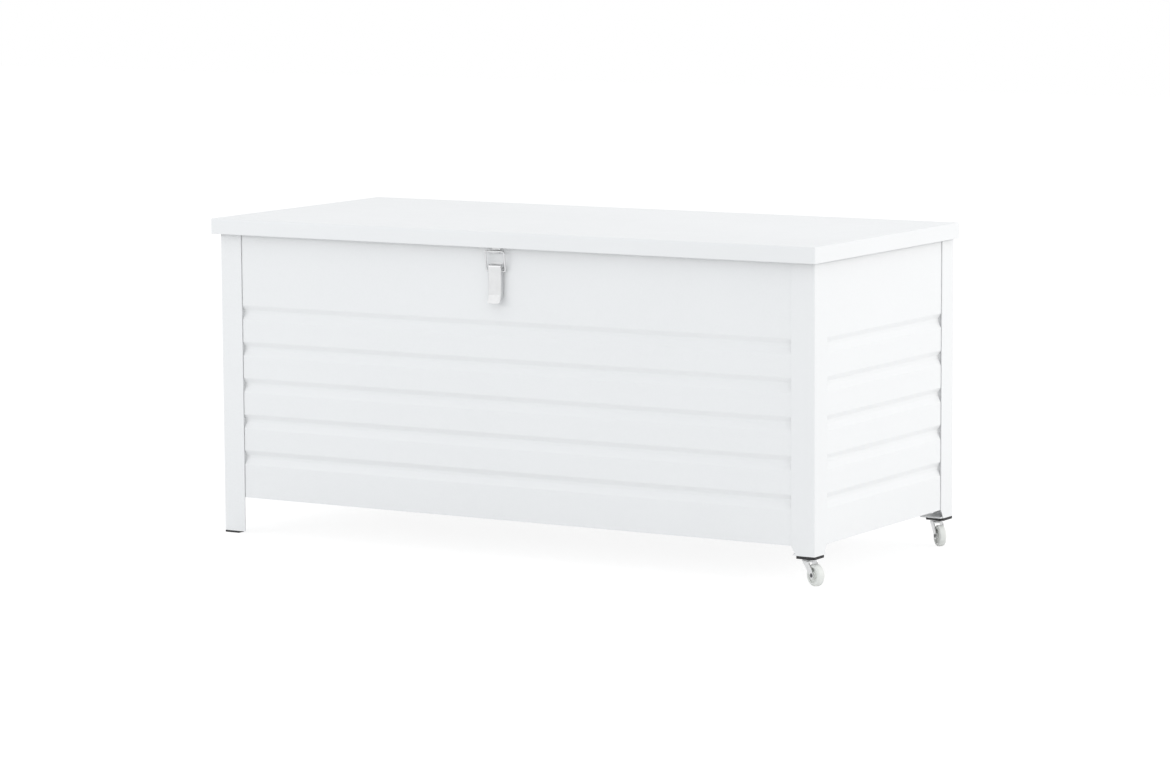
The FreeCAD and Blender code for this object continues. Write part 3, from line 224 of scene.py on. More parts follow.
class CastorSizes(bpy.types.PropertyGroup):
    """Castors, their seats under the posts, and the foot pads."""
    wheel_radius: length("Wheel radius", "Radius of a wheel", 0.020)
    wheel_width: length("Wheel width", "Width of a wheel", 0.014)
    rim: length("Rim", "Thickness of the tread and rim", 0.006)
    shoulder: length("Shoulder", "Width and height of the slope beside a wheel's tread", 0.0022)
    web: length("Web", "Width of a wheel between hub and rim", 0.006)
    hub: length("Hub", "Radius of a wheel's hub", 0.0065)
    axle: length("Axle", "Radius of an axle", 0.0025)
    axle_head: length("Axle head", "Radius of an axle's heads", 0.0039)
    fork_gap: length("Fork gap", "Wheel to leg", 0.0008)
    fork_sheet: length("Fork sheet", "Thickness of a fork", 0.002)
    fork_bend: length("Fork bend", "Bend between crown and leg, to its middle", 0.003)
    crown_radius: length("Crown radius", "Radius of a fork's crown", 0.014)
    crown_blend: length("Crown blend", "Height over which the crown turns into the legs", 0.006)
    boss: length("Leg end", "Radius of a leg's end round the axle", 0.0065)
    leg_back: length("Leg back", "Leg's root behind the swivel axis", 0.007)
    leg_front: length("Leg front", "Leg's root ahead of the swivel axis", 0.012)
    ring_radius: length("Ring radius", "Radius of the swivel ring", 0.012)
    ring_height: length("Ring height", "Height of the swivel ring", 0.0022)
    stem: length("Stem", "Radius of the swivel stem", 0.004)
    stem_head: length("Stem head", "Radius of the stem's head", 0.0065)
    pad_corner: length("Pad corner", "Corner radius of a black pad", 0.002)
    pad_edge: length("Pad edge", "Rounding of a black pad's edges", 0.0007)
    plug_width: length("Plug width", "Foot pad's plug along the front", 0.028)
    plug_depth: length("Plug depth", "Foot pad's plug from front to back", 0.016)
    plug_lap: length("Plug lap", "How far the plug reaches into the tread", 0.0005)
    foot_height: length("Foot height", "Thickness of a foot pad", 0.004)


class SpringSizes(bpy.types.PropertyGroup):
    """Gas springs and their brackets."""
    tube: length("Tube radius", "Radius of a gas spring's tube", 0.009)
    wall: length("Tube wall", "Wall of the tube", 0.0015)
    tube_start: length("Tube start", "Wall pivot to the tube", 0.012)
    rod_stub: length("Rod stub", "Lid pivot to the tube when shut", 0.024)
    rod: length("Rod radius", "Radius of a gas spring's rod", 0.004)
    rod_length: length("Rod length", "Lid pivot to the rod's inner end", 0.2021)
    guide: length("Guide", "Length of the rod's guide in the tube", 0.010)
    piston: length("Piston", "Length of the piston", 0.008)
    neck: length("Neck", "Pivot to where the neck comes out of its eye", 0.0055)
    collar_end: length("Collar", "Lid pivot to the end of the rod's collar", 0.013)
    gap: length("Gap", "Air round the rod and the piston, and beside an eye", 0.0003)
    end_gap: length("End gap", "Rod's end to the tube's closed end when shut", 0.003)
    eye: length("Eye radius", "Radius of an end eye", 0.007)
    eye_width: length("Eye width", "Width of an end eye", 0.010)
    stud: length("Stud radius", "Radius of a pivot stud", 0.004)
    stud_head: length("Stud head", "Radius of a stud's head", 0.006)
    boss: length("Boss radius", "Radius of the wall bracket's boss", 0.008)
    sheet: length("Bracket sheet", "Thickness of a bracket", 0.003)
    bracket_corner: length("Bracket corner", "Corner radius of a bracket", 0.003)


class FinishColours(bpy.types.PropertyGroup):
    """Colours and grain of the finishes."""
    white_coat: colour("White coat", "Powder coat on the sheet metal", (0.868, 0.872, 0.876))
    zinc: colour("Zinc", "Plated steel of the latch, screws and forks", (0.74, 0.745, 0.75))
    chrome: colour("Chrome", "Plated spring rods", (0.80, 0.81, 0.83))
    black_steel: colour("Black steel", "Coated spring tubes and axles", (0.075, 0.076, 0.08))
    black_plastic: colour("Black plastic", "Foot and castor pads", (0.013, 0.013, 0.014))
    black_rubber: colour("Black rubber", "Bumpers under the lid", (0.026, 0.026, 0.027))
    grey_plastic: colour("Grey plastic", "Castor wheels", (0.83, 0.84, 0.81))
    coat_pebble: length("Coat pebble", "Size of the powder coat's orange peel", 0.0016)
    coat_relief: length("Coat relief", "Height of the orange peel", 0.000035)
    coat_roughness: share("Coat roughness", "Roughness of the powder coat", 0.42)


class StudioSizes(bpy.types.PropertyGroup):
    """Camera, lamps and floor."""
    camera_place: bpy.props.FloatVectorProperty(
        name="Camera place", description="Where the camera stands", default=(4.21045, -6.97027, 1.31401),
        subtype="TRANSLATION", unit="LENGTH")
    camera_yaw: angle("Camera yaw", "Turn of the view from the box's depth towards its left", 31.1089)
    camera_pitch: angle("Camera pitch", "How far the camera looks down", 7.2017)
    camera_roll: angle("Camera roll", "Tilt of the camera about its view", -0.3204)
    camera_lens: bpy.props.FloatProperty(
        name="Lens", description="Focal length on a 36 mm sensor", default=131.5944, unit="CAMERA")
    sky: share("Sky light", "Strength of the even light from all round", 0.95, 10)
    sky_tint: colour("Sky tint", "Cool white of the even light", (0.965, 0.985, 1.0))
    key: share("Key lamp", "Power of the lamp at the castor end", 57.0, 5000)
    key_tint: colour("Key tint", "Warm white of the lamp at the castor end", (1.0, 0.96, 0.92))
    fill: share("Fill lamp", "Power of the lamp in front", 20.0, 5000)
    fill_tint: colour("Fill tint", "White of the lamp in front", (1.0, 1.0, 1.0))
    floor_colour: colour("Floor", "Pale floor", (0.90, 0.90, 0.90))
    floor_shown: share("Floor shown", "Share of the floor's shading that the camera sees", 0.20)
    floor_lift: share("Floor lift", "White added to the floor where the camera sees it", 0.89)


# ---------------------------------------------------------------- surfaces

def span(node):
    """Low and high corner of a CAD node."""
    low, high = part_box(node)
    return np.array(low), np.array(high)


def softened(points, radii, steps=4, guard=0.0008):
    """An outline with its corners rounded. Each corner becomes an arc that touches both of its edges: the
    arc's centre lies on the corner's bisector at radius / sin(half the corner), and a point of the arc is the
    centre plus the two end spokes weighted by the sines of the turn left and the turn made. One more point
    stands a little outside each end of the arc, so that the flat beside it stays flat when shaded. A radius
    of 0 keeps a corner as it is."""
    p = np.asarray(points, float)
    radii = np.broadcast_to(np.asarray(radii, float), len(p))
    ahead = np.roll(p, -1, 0) - p
    size = np.linalg.norm(ahead, axis=1)
    ahead = ahead / size[:, None]
    back = -np.roll(ahead, 1, 0)
    half = np.arccos(np.clip((back * ahead).sum(1), -1, 1)) / 2
    reach = radii / np.tan(np.maximum(half, 1e-4))
    free = np.maximum(size - reach - np.roll(reach, -1), 0)
    after = np.where(radii > 0, np.minimum(guard, 0.4 * free), 0)
    before = np.where(radii > 0, np.minimum(guard, 0.4 * np.roll(free, 1)), 0)
    bisector = back + ahead
    norm = np.linalg.norm(bisector, axis=1)
    bisector = np.where(norm[:, None] > 1e-9, bisector / np.maximum(norm, 1e-9)[:, None], 0)
    centre = p + bisector * (radii / np.sin(np.maximum(half, 1e-4)))[:, None]
    first, last = p + back * reach[:, None], p + ahead * reach[:, None]
    turn = (math.pi - 2 * half)[:, None]
    t = np.linspace(0, 1, steps + 1)[None, :]
    sine = np.maximum(np.sin(turn), 1e-9)
    bent = turn > 1e-4
    near = np.where(bent, np.sin((1 - t) * turn) / sine, 1 - t)[..., None]
    far = np.where(bent, np.sin(t * turn) / sine, t)[..., None]
    arc = centre[:, None] + near * (first - centre)[:, None] + far * (last - centre)[:, None]
    arc = np.where(bent[..., None], arc, first[:, None] + t[..., None] * (last - first)[:, None])
    lead = (first + back * before[:, None])[:, None]
    tail = (last + ahead * after[:, None])[:, None]
    return np.concatenate([lead, arc, tail], 1).reshape(-1, p.shape[1])


def without_repeats(line):
    """A line less each point that lies on the one before it."""
    return line[np.concatenate([[True], np.linalg.norm(np.diff(line, axis=0), axis=1) > 1e-7])]


def smooth_step(share_of_way):
    """A rise from 0 to 1 with level ends: w squared * (3 - 2 w), w being the share of the way."""
    w = np.clip(share_of_way, 0, 1)
    return w ** 2 * (3 - 2 * w)


def rectangle(low, high, corner):
    """An upright rectangle's outline from its low and high corner, the four corners rounded."""
    return softened([(low[0], low[1]), (high[0], low[1]), (high[0], high[1]), (low[0], high[1])], corner)


def skin(rings, closed=False, caps=True):
    """Faces over rings of points: each face joins two neighbours of one ring to the same two of the next. The
    end rings get one face each, or the last ring joins the first."""
    rings = np.asarray(rings, float)
    m, n = rings.shape[:2]
    grid = np.arange(m * n).reshape(m, n)
    near, far = (grid, np.roll(grid, -1, 0)) if closed else (grid[:-1], grid[1:])
    quads = np.stack([near, np.roll(near, -1, 1), np.roll(far, -1, 1), far], -1).reshape(-1, 4)
    faces = quads.tolist()
    if caps and not closed:
        faces += [grid[0, ::-1].tolist(), grid[-1].tolist()]
    return rings.reshape(-1, 3), faces


def inset(outline, distance):
    """An outline moved inwards, each point along the normal of the line through its neighbours."""
    run = np.roll(outline, -1, 0) - np.roll(outline, 1, 0)
    normal = np.stack([-run[:, 1], run[:, 0]], 1) / np.maximum(np.linalg.norm(run, axis=1), 1e-12)[:, None]
    following = np.roll(outline, -1, 0)
    area = (outline[:, 0] * following[:, 1] - following[:, 0] * outline[:, 1]).sum()
    return outline + normal * distance * np.sign(area)


def rolled_edge(thickness, edge):
    """Pairs of (inset, height) that take a flat piece from one face round its edge to the other: a quarter
    round of the edge's radius at each face."""
    a = np.linspace(0, math.pi / 2, 4)
    low = np.stack([edge * (1 - np.sin(a)), edge * (1 - np.cos(a))], 1)
    high = np.stack([low[::-1, 0], thickness - low[::-1, 1]], 1)
    guard = np.array([[1.6 * edge, 0], [1.6 * edge, thickness]])
    return np.concatenate([guard[:1], low, high, guard[1:]])


def plate(outline, thickness, edge, at, across, up, out):
    """A flat piece with rounded edges: the outline, moved inwards by the rolled edge's inset at each of its
    heights. A point is at + x * across + y * up + height * out."""
    rings = [np.concatenate([inset(outline, d), np.full((len(outline), 1), h)], 1)
             for d, h in rolled_edge(thickness, edge)]
    return skin(np.asarray(at) + np.asarray(rings) @ np.stack([across, up, out]))


def bar(outline, at, across, up, along, stations):
    """A section carried straight along: at + x * across + y * up + station * along."""
    flat = outline[:, :1] * across + outline[:, 1:] * up
    return skin(np.asarray(at) + flat[None] + np.asarray(stations, float)[:, None, None] * along)


def turned(profile, at, axis, steps=32, closed=False):
    """A profile of (radius, height) turned about an axis: at + radius * (cos a * side + sin a * third) +
    height * axis."""
    axis = np.asarray(axis, float) / np.linalg.norm(axis)
    side = np.cross(axis, Z if abs(axis[2]) < 0.9 else X)
    side = side / np.linalg.norm(side)
    third = np.cross(axis, side)
    profile = np.asarray(profile, float)
    a = np.linspace(0, FULL_TURN, steps, endpoint=False)
    spokes = np.cos(a)[:, None] * side + np.sin(a)[:, None] * third
    rings = profile[:, 0, None, None] * spokes + profile[:, 1, None, None] * axis
    return skin(np.asarray(at) + rings, closed=closed, caps=not closed and profile[0, 0] > 0)


def lathe(rows, at, axis, steps=32, closed=False):
    """Rows of (radius, height, bend) turned about an axis, each corner rounded by its bend."""
    rows = np.array(rows, float)
    return turned(softened(rows[:, :2], rows[:, 2]), at, axis, steps, closed)


def disc(radius, low, high, edge, at, axis, steps=32):
    """A round bar between two heights, its rims rounded."""
    run = softened([(0, low), (radius, low), (radius, high), (0, high)], (0, edge, edge, 0), 3)
    return turned(run, at, axis, steps)


def tube(path, radius, binormal, steps):
    """A round wire along a path that lies in one plane: each ring is radius * (cos a * normal + sin a *
    binormal) about its point, the normal being square to the path's own direction."""
    path = np.asarray(path, float)
    direction = np.gradient(path, axis=0)
    direction /= np.linalg.norm(direction, axis=1, keepdims=True)
    normal = np.cross(binormal, direction)
    a = np.linspace(0, FULL_TURN, steps, endpoint=False)[None, :, None]
    return skin(path[:, None] + radius * (np.cos(a) * normal[:, None] + np.sin(a) * np.asarray(binormal)))


# Share of a head's radius at which its dome starts, and share of its side's height at which the side ends.
RIM_REACH, RIM_RISE = 0.97, 0.85
# Share of a head's radius to which the cross recess reaches, and over which it fades out.
CROSS_REACH, CROSS_FADE = 0.62, 0.08
# Rounding of a pin's rims.
PIN_RIM = 0.0001


def dome_line(radius, height, dome, rings):
    """A low round head from the side: out along its seat, up a short side, then in over a dome of height *
    dome * (1 - (r / radius) squared)."""
    side = height * (1 - dome)
    r = np.linspace(1, 0, rings) * radius * RIM_REACH
    rise = side + height * dome * (1 - (r / radius) ** 2)
    return np.concatenate([[(0, 0), (radius, 0), (radius, side * RIM_RISE)], np.stack([r, rise], 1)])


def domed_head(radius, height, dome, at, axis):
    """A low round head, turned."""
    return turned(dome_line(radius, height, dome, 7), at, axis, 24)


def headed_pin(radius, reach, head, height, dome, at, axis):
    """A pin that reaches equally far to both sides, with a low round head at each end."""
    heads = [domed_head(head, height, dome, at + way * reach * axis, way * axis) for way in (-1, 1)]
    return [disc(radius, -reach, reach, PIN_RIM, at, axis, 20), *heads]


def recessed_head(radius, height, dome, depth, width, at, axis):
    """A screw's head: the dome less a cross. The dip at a point is depth * the larger of the two arms, an arm
    being 1 along its own line and 0 beyond 1.6 widths from it, and the whole cross fades out within the
    radius."""
    r, rise = dome_line(radius, height, dome, 15).T[..., None]
    a = np.linspace(0, FULL_TURN, 48, endpoint=False)
    x, y = r * np.cos(a), r * np.sin(a)
    arms = np.maximum(np.clip(1.6 - np.abs(x) / width, 0, 1), np.clip(1.6 - np.abs(y) / width, 0, 1))
    dip = depth * arms * np.clip((CROSS_REACH - r / radius) / CROSS_FADE, 0, 1)
    dip[0] = 0  # the seat's middle stays flat
    rings = np.stack([x, y, rise - dip], -1)
    axis = np.asarray(axis, float)
    side = Z if abs(axis[2]) < 0.9 else X
    return skin(np.asarray(at) + rings @ np.stack([np.cross(side, axis), side, axis]), caps=False)


def bent_line(points, radii, crowd=0.0):
    """A line with its corners rounded, and the distance along it. Within the crowd's distance of each end it
    has more points, at crowd * (1 - cos a), for an end that is cut round."""
    line = without_repeats(softened(points, radii))
    way = np.concatenate([[0], np.cumsum(np.linalg.norm(np.diff(line, axis=0), axis=1))])
    near = crowd * (1 - np.cos(np.linspace(0, math.pi / 2, 9)))
    stations = np.unique(np.round(np.concatenate([way, near, way[-1] - near]), 8))
    stations = stations[np.concatenate([[True], np.diff(stations) > 1e-6])]
    return np.stack([np.interp(stations, way, value) for value in line.T], 1), stations


def corner_cut(way, radius):
    """How much a rounded corner takes off a strip's side at a distance from its end: radius less the circle's
    height."""
    left = np.clip(radius - way, 0, radius)
    return radius - np.sqrt(np.maximum(radius ** 2 - left ** 2, 0))


def strip(run, thickness, low, high, across, edge=0.0003):
    """Bent sheet: at each station of its middle line the section is a rectangle from low to high along
    `across` and one thickness along the line's normal, its corners rounded. The normal is square to the line
    and to `across`, and is lengthened at a bend by 1 / cos of half the turn, so that the sheet keeps its
    thickness."""
    run = np.asarray(run, float)
    steps = np.diff(run, axis=0)
    steps /= np.linalg.norm(steps, axis=1, keepdims=True)
    before, after = np.concatenate([steps[:1], steps]), np.concatenate([steps, steps[-1:]])
    along = before + after
    along /= np.linalg.norm(along, axis=1, keepdims=True)
    normal = np.cross(along, across) / np.maximum((along * after).sum(1), 0.5)[:, None]
    # The rounded corners of a big square, each then put at its own corner of the section.
    big = 1000 * edge
    corners = softened([(0, 0), (big, 0), (big, big), (0, big)], edge, 3, edge)
    far = np.round(corners / big)
    off = corners - far * big
    low, high = np.broadcast_to(low, len(run)), np.broadcast_to(high, len(run))
    width = np.maximum(high - low, 0)[:, None]
    side = low[:, None] + np.clip(far[:, 0] * width + off[:, 0], 0, width)
    depth = (far[:, 1] - 0.5) * thickness + off[:, 1]
    return skin(run[:, None] + side[..., None] * across + depth[None, :, None] * normal[:, None])


def strap(points, radii, at, plane, thickness, low, high, across, corners):
    """A strip from low to high along a bent line, given in a plane of two directions, with the corners at its
    start and at its end rounded."""
    line, way = bent_line(points, radii, max(corners))
    cut = corner_cut(way, corners[0]) + corner_cut(way[-1] - way, corners[1])
    return strip(at + line @ np.stack(plane), thickness, low + cut, high - cut, across)


def threaded(radius, reach, pitch, at, axis):
    """A screw's shank: its radius falls by a fifth between the turns of the thread, a triangle wave along its
    length, and its last turn tapers to a point."""
    height = np.linspace(0, reach, int(reach / pitch * 4) + 1)
    wave = np.abs((height / pitch) % 1 - 0.5) * 2
    r = radius * (1 - 0.2 * wave) * np.clip((reach - height) / (1.2 * pitch) + 0.25, 0, 1)
    run = np.concatenate([[(0, 0)], np.stack([r, height], 1), [(0, reach)]])
    return turned(run, at, axis, 12)


def joint(name):
    """A joint's place and axis."""
    found = next(j for j in frame["joints"] if j["name"] == name)
    return np.array(found["pos_m"]), np.array(found["axis"], float)


SLOTS = {part["node"]: part["material_slot"] for part in frame["record"]["subparts"]}


def piece(name, surfaces, nodes):
    """One object from surfaces, in place of CAD nodes: it takes their body and the finish of their slot.
    Doubles are merged and faces turned outwards, and it is smooth except at sharp edges."""
    slot = SLOTS[nodes[0]]
    starts = np.cumsum([0] + [len(points) for points, _ in surfaces])
    points = np.concatenate([points for points, _ in surfaces])
    faces = [[corner + start for corner in face] for (_, part), start in zip(surfaces, starts)
             for face in part]
    mesh = bpy.data.meshes.new(name)
    mesh.from_pydata(points, [], faces)
    work = bmesh.new()
    work.from_mesh(mesh)
    bmesh.ops.remove_doubles(work, verts=work.verts, dist=2e-6)
    bmesh.ops.recalc_face_normals(work, faces=work.faces)
    work.to_mesh(mesh)
    work.free()
    mesh.shade_smooth()
    mesh.set_sharp_from_angle(angle=SHARP)
    mesh.materials.append(finishes()[slot])
    made = bpy.data.objects.new(name, mesh)
    bpy.context.scene.collection.objects.link(made)
    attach(made, frame["nodes"][nodes[0]]["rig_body"])
    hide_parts(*nodes)


# ---------------------------------------------------------------- finishes

def add(tree, kind, values=None, **settings):
    """A shader node with its settings and the values of its sockets."""
    made = tree.nodes.new(kind)
    for key, value in settings.items():
        setattr(made, key, value)
    for key, value in (values or {}).items():
        made.inputs[key].default_value = value
    return made


def wire(tree, *runs):
    """Link sockets, each run being a node, its output, another node and its input."""
    for source, output, target, entry in runs:
        tree.links.new(source.outputs[output], target.inputs[entry])


def group(name, inputs, outputs):
    """An empty node group with its sockets, and its two end nodes."""
    tree = bpy.data.node_groups.new(name, "ShaderNodeTree")
    for direction, sockets in (("INPUT", inputs), ("OUTPUT", outputs)):
        for label, kind, *start in sockets:
            made = tree.interface.new_socket(label, in_out=direction, socket_type="NodeSocket" + kind)
            if start:
                made.default_value = start[0]
    return tree, tree.nodes.new("NodeGroupInput"), tree.nodes.new("NodeGroupOutput")


def pebble_group():
    """Orange peel of a sprayed or moulded skin: two noises, one at the pebble's size and one at a third of
    it, summed with weights 0.75 and 0.25."""
    tree, given, put = group("pebbled_skin", [("Place", "Vector"), ("Per metre", "Float", 600.0)],
                             [("Height", "Float")])
    wide = add(tree, "ShaderNodeTexNoise", {"Detail": 2.0, "Roughness": 0.45})
    fine = add(tree, "ShaderNodeTexNoise", {"Detail": 1.0, "Roughness": 0.5})
    thrice = add(tree, "ShaderNodeMath", {1: 3.0}, operation="MULTIPLY")
    mix = add(tree, "ShaderNodeMix", {0: 0.25}, data_type="FLOAT")
    wire(tree, (given, "Place", wide, "Vector"), (given, "Place", fine, "Vector"),
         (given, "Per metre", wide, "Scale"), (given, "Per metre", thrice, 0), (thrice, 0, fine, "Scale"),
         (wide, "Fac", mix, 2), (fine, "Fac", mix, 3), (mix, 0, put, "Height"))


def drift_group():
    """Slow drift of a value over the surface: a soft noise mapped from its middle range to low and high."""
    tree, given, put = group("slow_drift", [("Place", "Vector"), ("Per metre", "Float", 5.0),
                                            ("Low", "Float", 0.0), ("High", "Float", 1.0)],
                             [("Value", "Float")])
    noise = add(tree, "ShaderNodeTexNoise", {"Detail": 4.0, "Roughness": 0.55})
    spread = add(tree, "ShaderNodeMapRange", {"From Min": 0.3, "From Max": 0.7})
    wire(tree, (given, "Place", noise, "Vector"), (given, "Per metre", noise, "Scale"),
         (noise, "Fac", spread, "Value"), (given, "Low", spread, "To Min"), (given, "High", spread, "To Max"),
         (spread, "Result", put, "Value"))


def edge_group():
    """The surface's pointedness, mapped from flat to sharp. Mask is 0 on flats and up to 1 on bends outwards,
    broken up by a noise. Crevice shade is 0 on flats and up to 1 on bends inwards, the mask of a painted
    shade in creases."""
    tree, given, put = group("edge_mask", [("Place", "Vector"), ("Per metre", "Float", 300.0)],
                             [("Mask", "Float"), ("Crevice", "Float")])
    shape = add(tree, "ShaderNodeNewGeometry")
    spread = add(tree, "ShaderNodeMapRange", {"From Min": 0.53, "From Max": 0.62})
    # Painted shade: pointiness below that of a flat becomes the crevice mask, which darkens the colour in
    # creases.
    hollow = add(tree, "ShaderNodeMapRange", {"From Min": 0.48, "From Max": 0.40})
    noise = add(tree, "ShaderNodeTexNoise", {"Detail": 3.0})
    broken = add(tree, "ShaderNodeMapRange", {"From Min": 0.35, "From Max": 0.6})
    both = add(tree, "ShaderNodeMath", operation="MULTIPLY", use_clamp=True)
    wire(tree, (shape, "Pointiness", spread, "Value"), (shape, "Pointiness", hollow, "Value"),
         (hollow, "Result", put, "Crevice"), (given, "Place", noise, "Vector"),
         (given, "Per metre", noise, "Scale"), (noise, "Fac", broken, "Value"), (spread, "Result", both, 0),
         (broken, "Result", both, 1), (both, 0, put, "Mask"))


def shared(tree, source, values, place):
    """A node group placed in a material, its Place fed with object coordinates."""
    made = add(tree, "ShaderNodeGroup", values, node_tree=bpy.data.node_groups[source])
    tree.links.new(place, made.inputs["Place"])
    return made


def tinted(base, factor):
    """A colour times a factor, none of its parts over 1."""
    return tuple(min(1.0, part * factor) for part in base) + (1.0,)


def finish(name, base, roughness, pebble, relief, metallic=0.0, coat=0.0, edge_tint=1.06, drift_tint=0.965,
           crevice_shade_tint=0.9, drift_per_metre=4.0):
    """A coated, plated or moulded finish: its colour drifts slowly and turns a little lighter on edges and
    darker in crevices, a painted shade there, its roughness drifts six times as quickly by 12 percent, and
    its skin has a fine pebble."""
    made = bpy.data.materials.new(name + "_finish")
    made.use_nodes = True
    tree = made.node_tree
    shader = tree.nodes["Principled BSDF"]
    shader.inputs["Metallic"].default_value = metallic
    shader.inputs["Coat Weight"].default_value = coat
    place = add(tree, "ShaderNodeTexCoord").outputs["Object"]
    drift = shared(tree, "slow_drift", {"Per metre": drift_per_metre}, place)
    edges = shared(tree, "edge_mask", {}, place)
    tone = add(tree, "ShaderNodeMix", {MIX_A: tinted(base, drift_tint), MIX_B: tinted(base, 1.0)},
               data_type="RGBA")
    wire(tree, (drift, "Value", tone, MIX_FACTOR))
    # Edges turn lighter, and crevices turn darker: the crevice darkening is painted shade.
    for mask, tint in (("Mask", edge_tint), ("Crevice", crevice_shade_tint)):
        over = add(tree, "ShaderNodeMix", {MIX_B: tinted(base, tint)}, data_type="RGBA")
        wire(tree, (edges, mask, over, MIX_FACTOR), (tone, MIX_OUT, over, MIX_A))
        tone = over
    gloss = shared(tree, "slow_drift", {"Per metre": drift_per_metre * 6, "Low": roughness * 0.88,
                                        "High": roughness * 1.12}, place)
    pebbles = shared(tree, "pebbled_skin", {"Per metre": 1 / pebble}, place)
    bump = add(tree, "ShaderNodeBump", {"Strength": 1.0, "Distance": relief})
    wire(tree, (tone, MIX_OUT, shader, "Base Color"), (gloss, "Value", shader, "Roughness"),
         (pebbles, "Height", bump, "Height"), (bump, "Normal", shader, "Normal"))


def finishes():
    """The finishes by the names of the record's slots, made once."""
    if "white_coat_finish" not in bpy.data.materials:
        pebble_group()
        drift_group()
        edge_group()
        c = bpy.context.scene.box_finishes
        finish("white_coat", c.white_coat, c.coat_roughness, c.coat_pebble, c.coat_relief, edge_tint=1.02,
               drift_tint=0.985)
        # The zinc's crevices are painted much darker, a strong painted shade.
        finish("zinc", c.zinc, 0.34, 0.0012, 0.00001, metallic=1.0, edge_tint=1.07, drift_tint=0.94,
               crevice_shade_tint=0.6, drift_per_metre=90)
        finish("chrome", c.chrome, 0.09, 0.003, 0.000002, metallic=1.0, edge_tint=1.05, drift_tint=0.97)
        finish("black_steel", c.black_steel, 0.36, 0.0009, 0.000012, coat=0.15, edge_tint=1.8,
               drift_tint=0.85)
        finish("black_plastic", c.black_plastic, 0.55, 0.0006, 0.00002, edge_tint=2.0, drift_tint=0.8)
        finish("black_rubber", c.black_rubber, 0.72, 0.0005, 0.00003, edge_tint=1.6, drift_tint=0.8)
        finish("grey_plastic", c.grey_plastic, 0.48, 0.0007, 0.00002, edge_tint=1.08, drift_tint=0.94,
               drift_per_metre=40)
    return {slot: bpy.data.materials[slot + "_finish"] for slot in set(SLOTS.values())}


# ---------------------------------------------------------------- operators

class BuildOperator:
    """What the operators of the box share."""
    bl_options = {"REGISTER", "UNDO"}


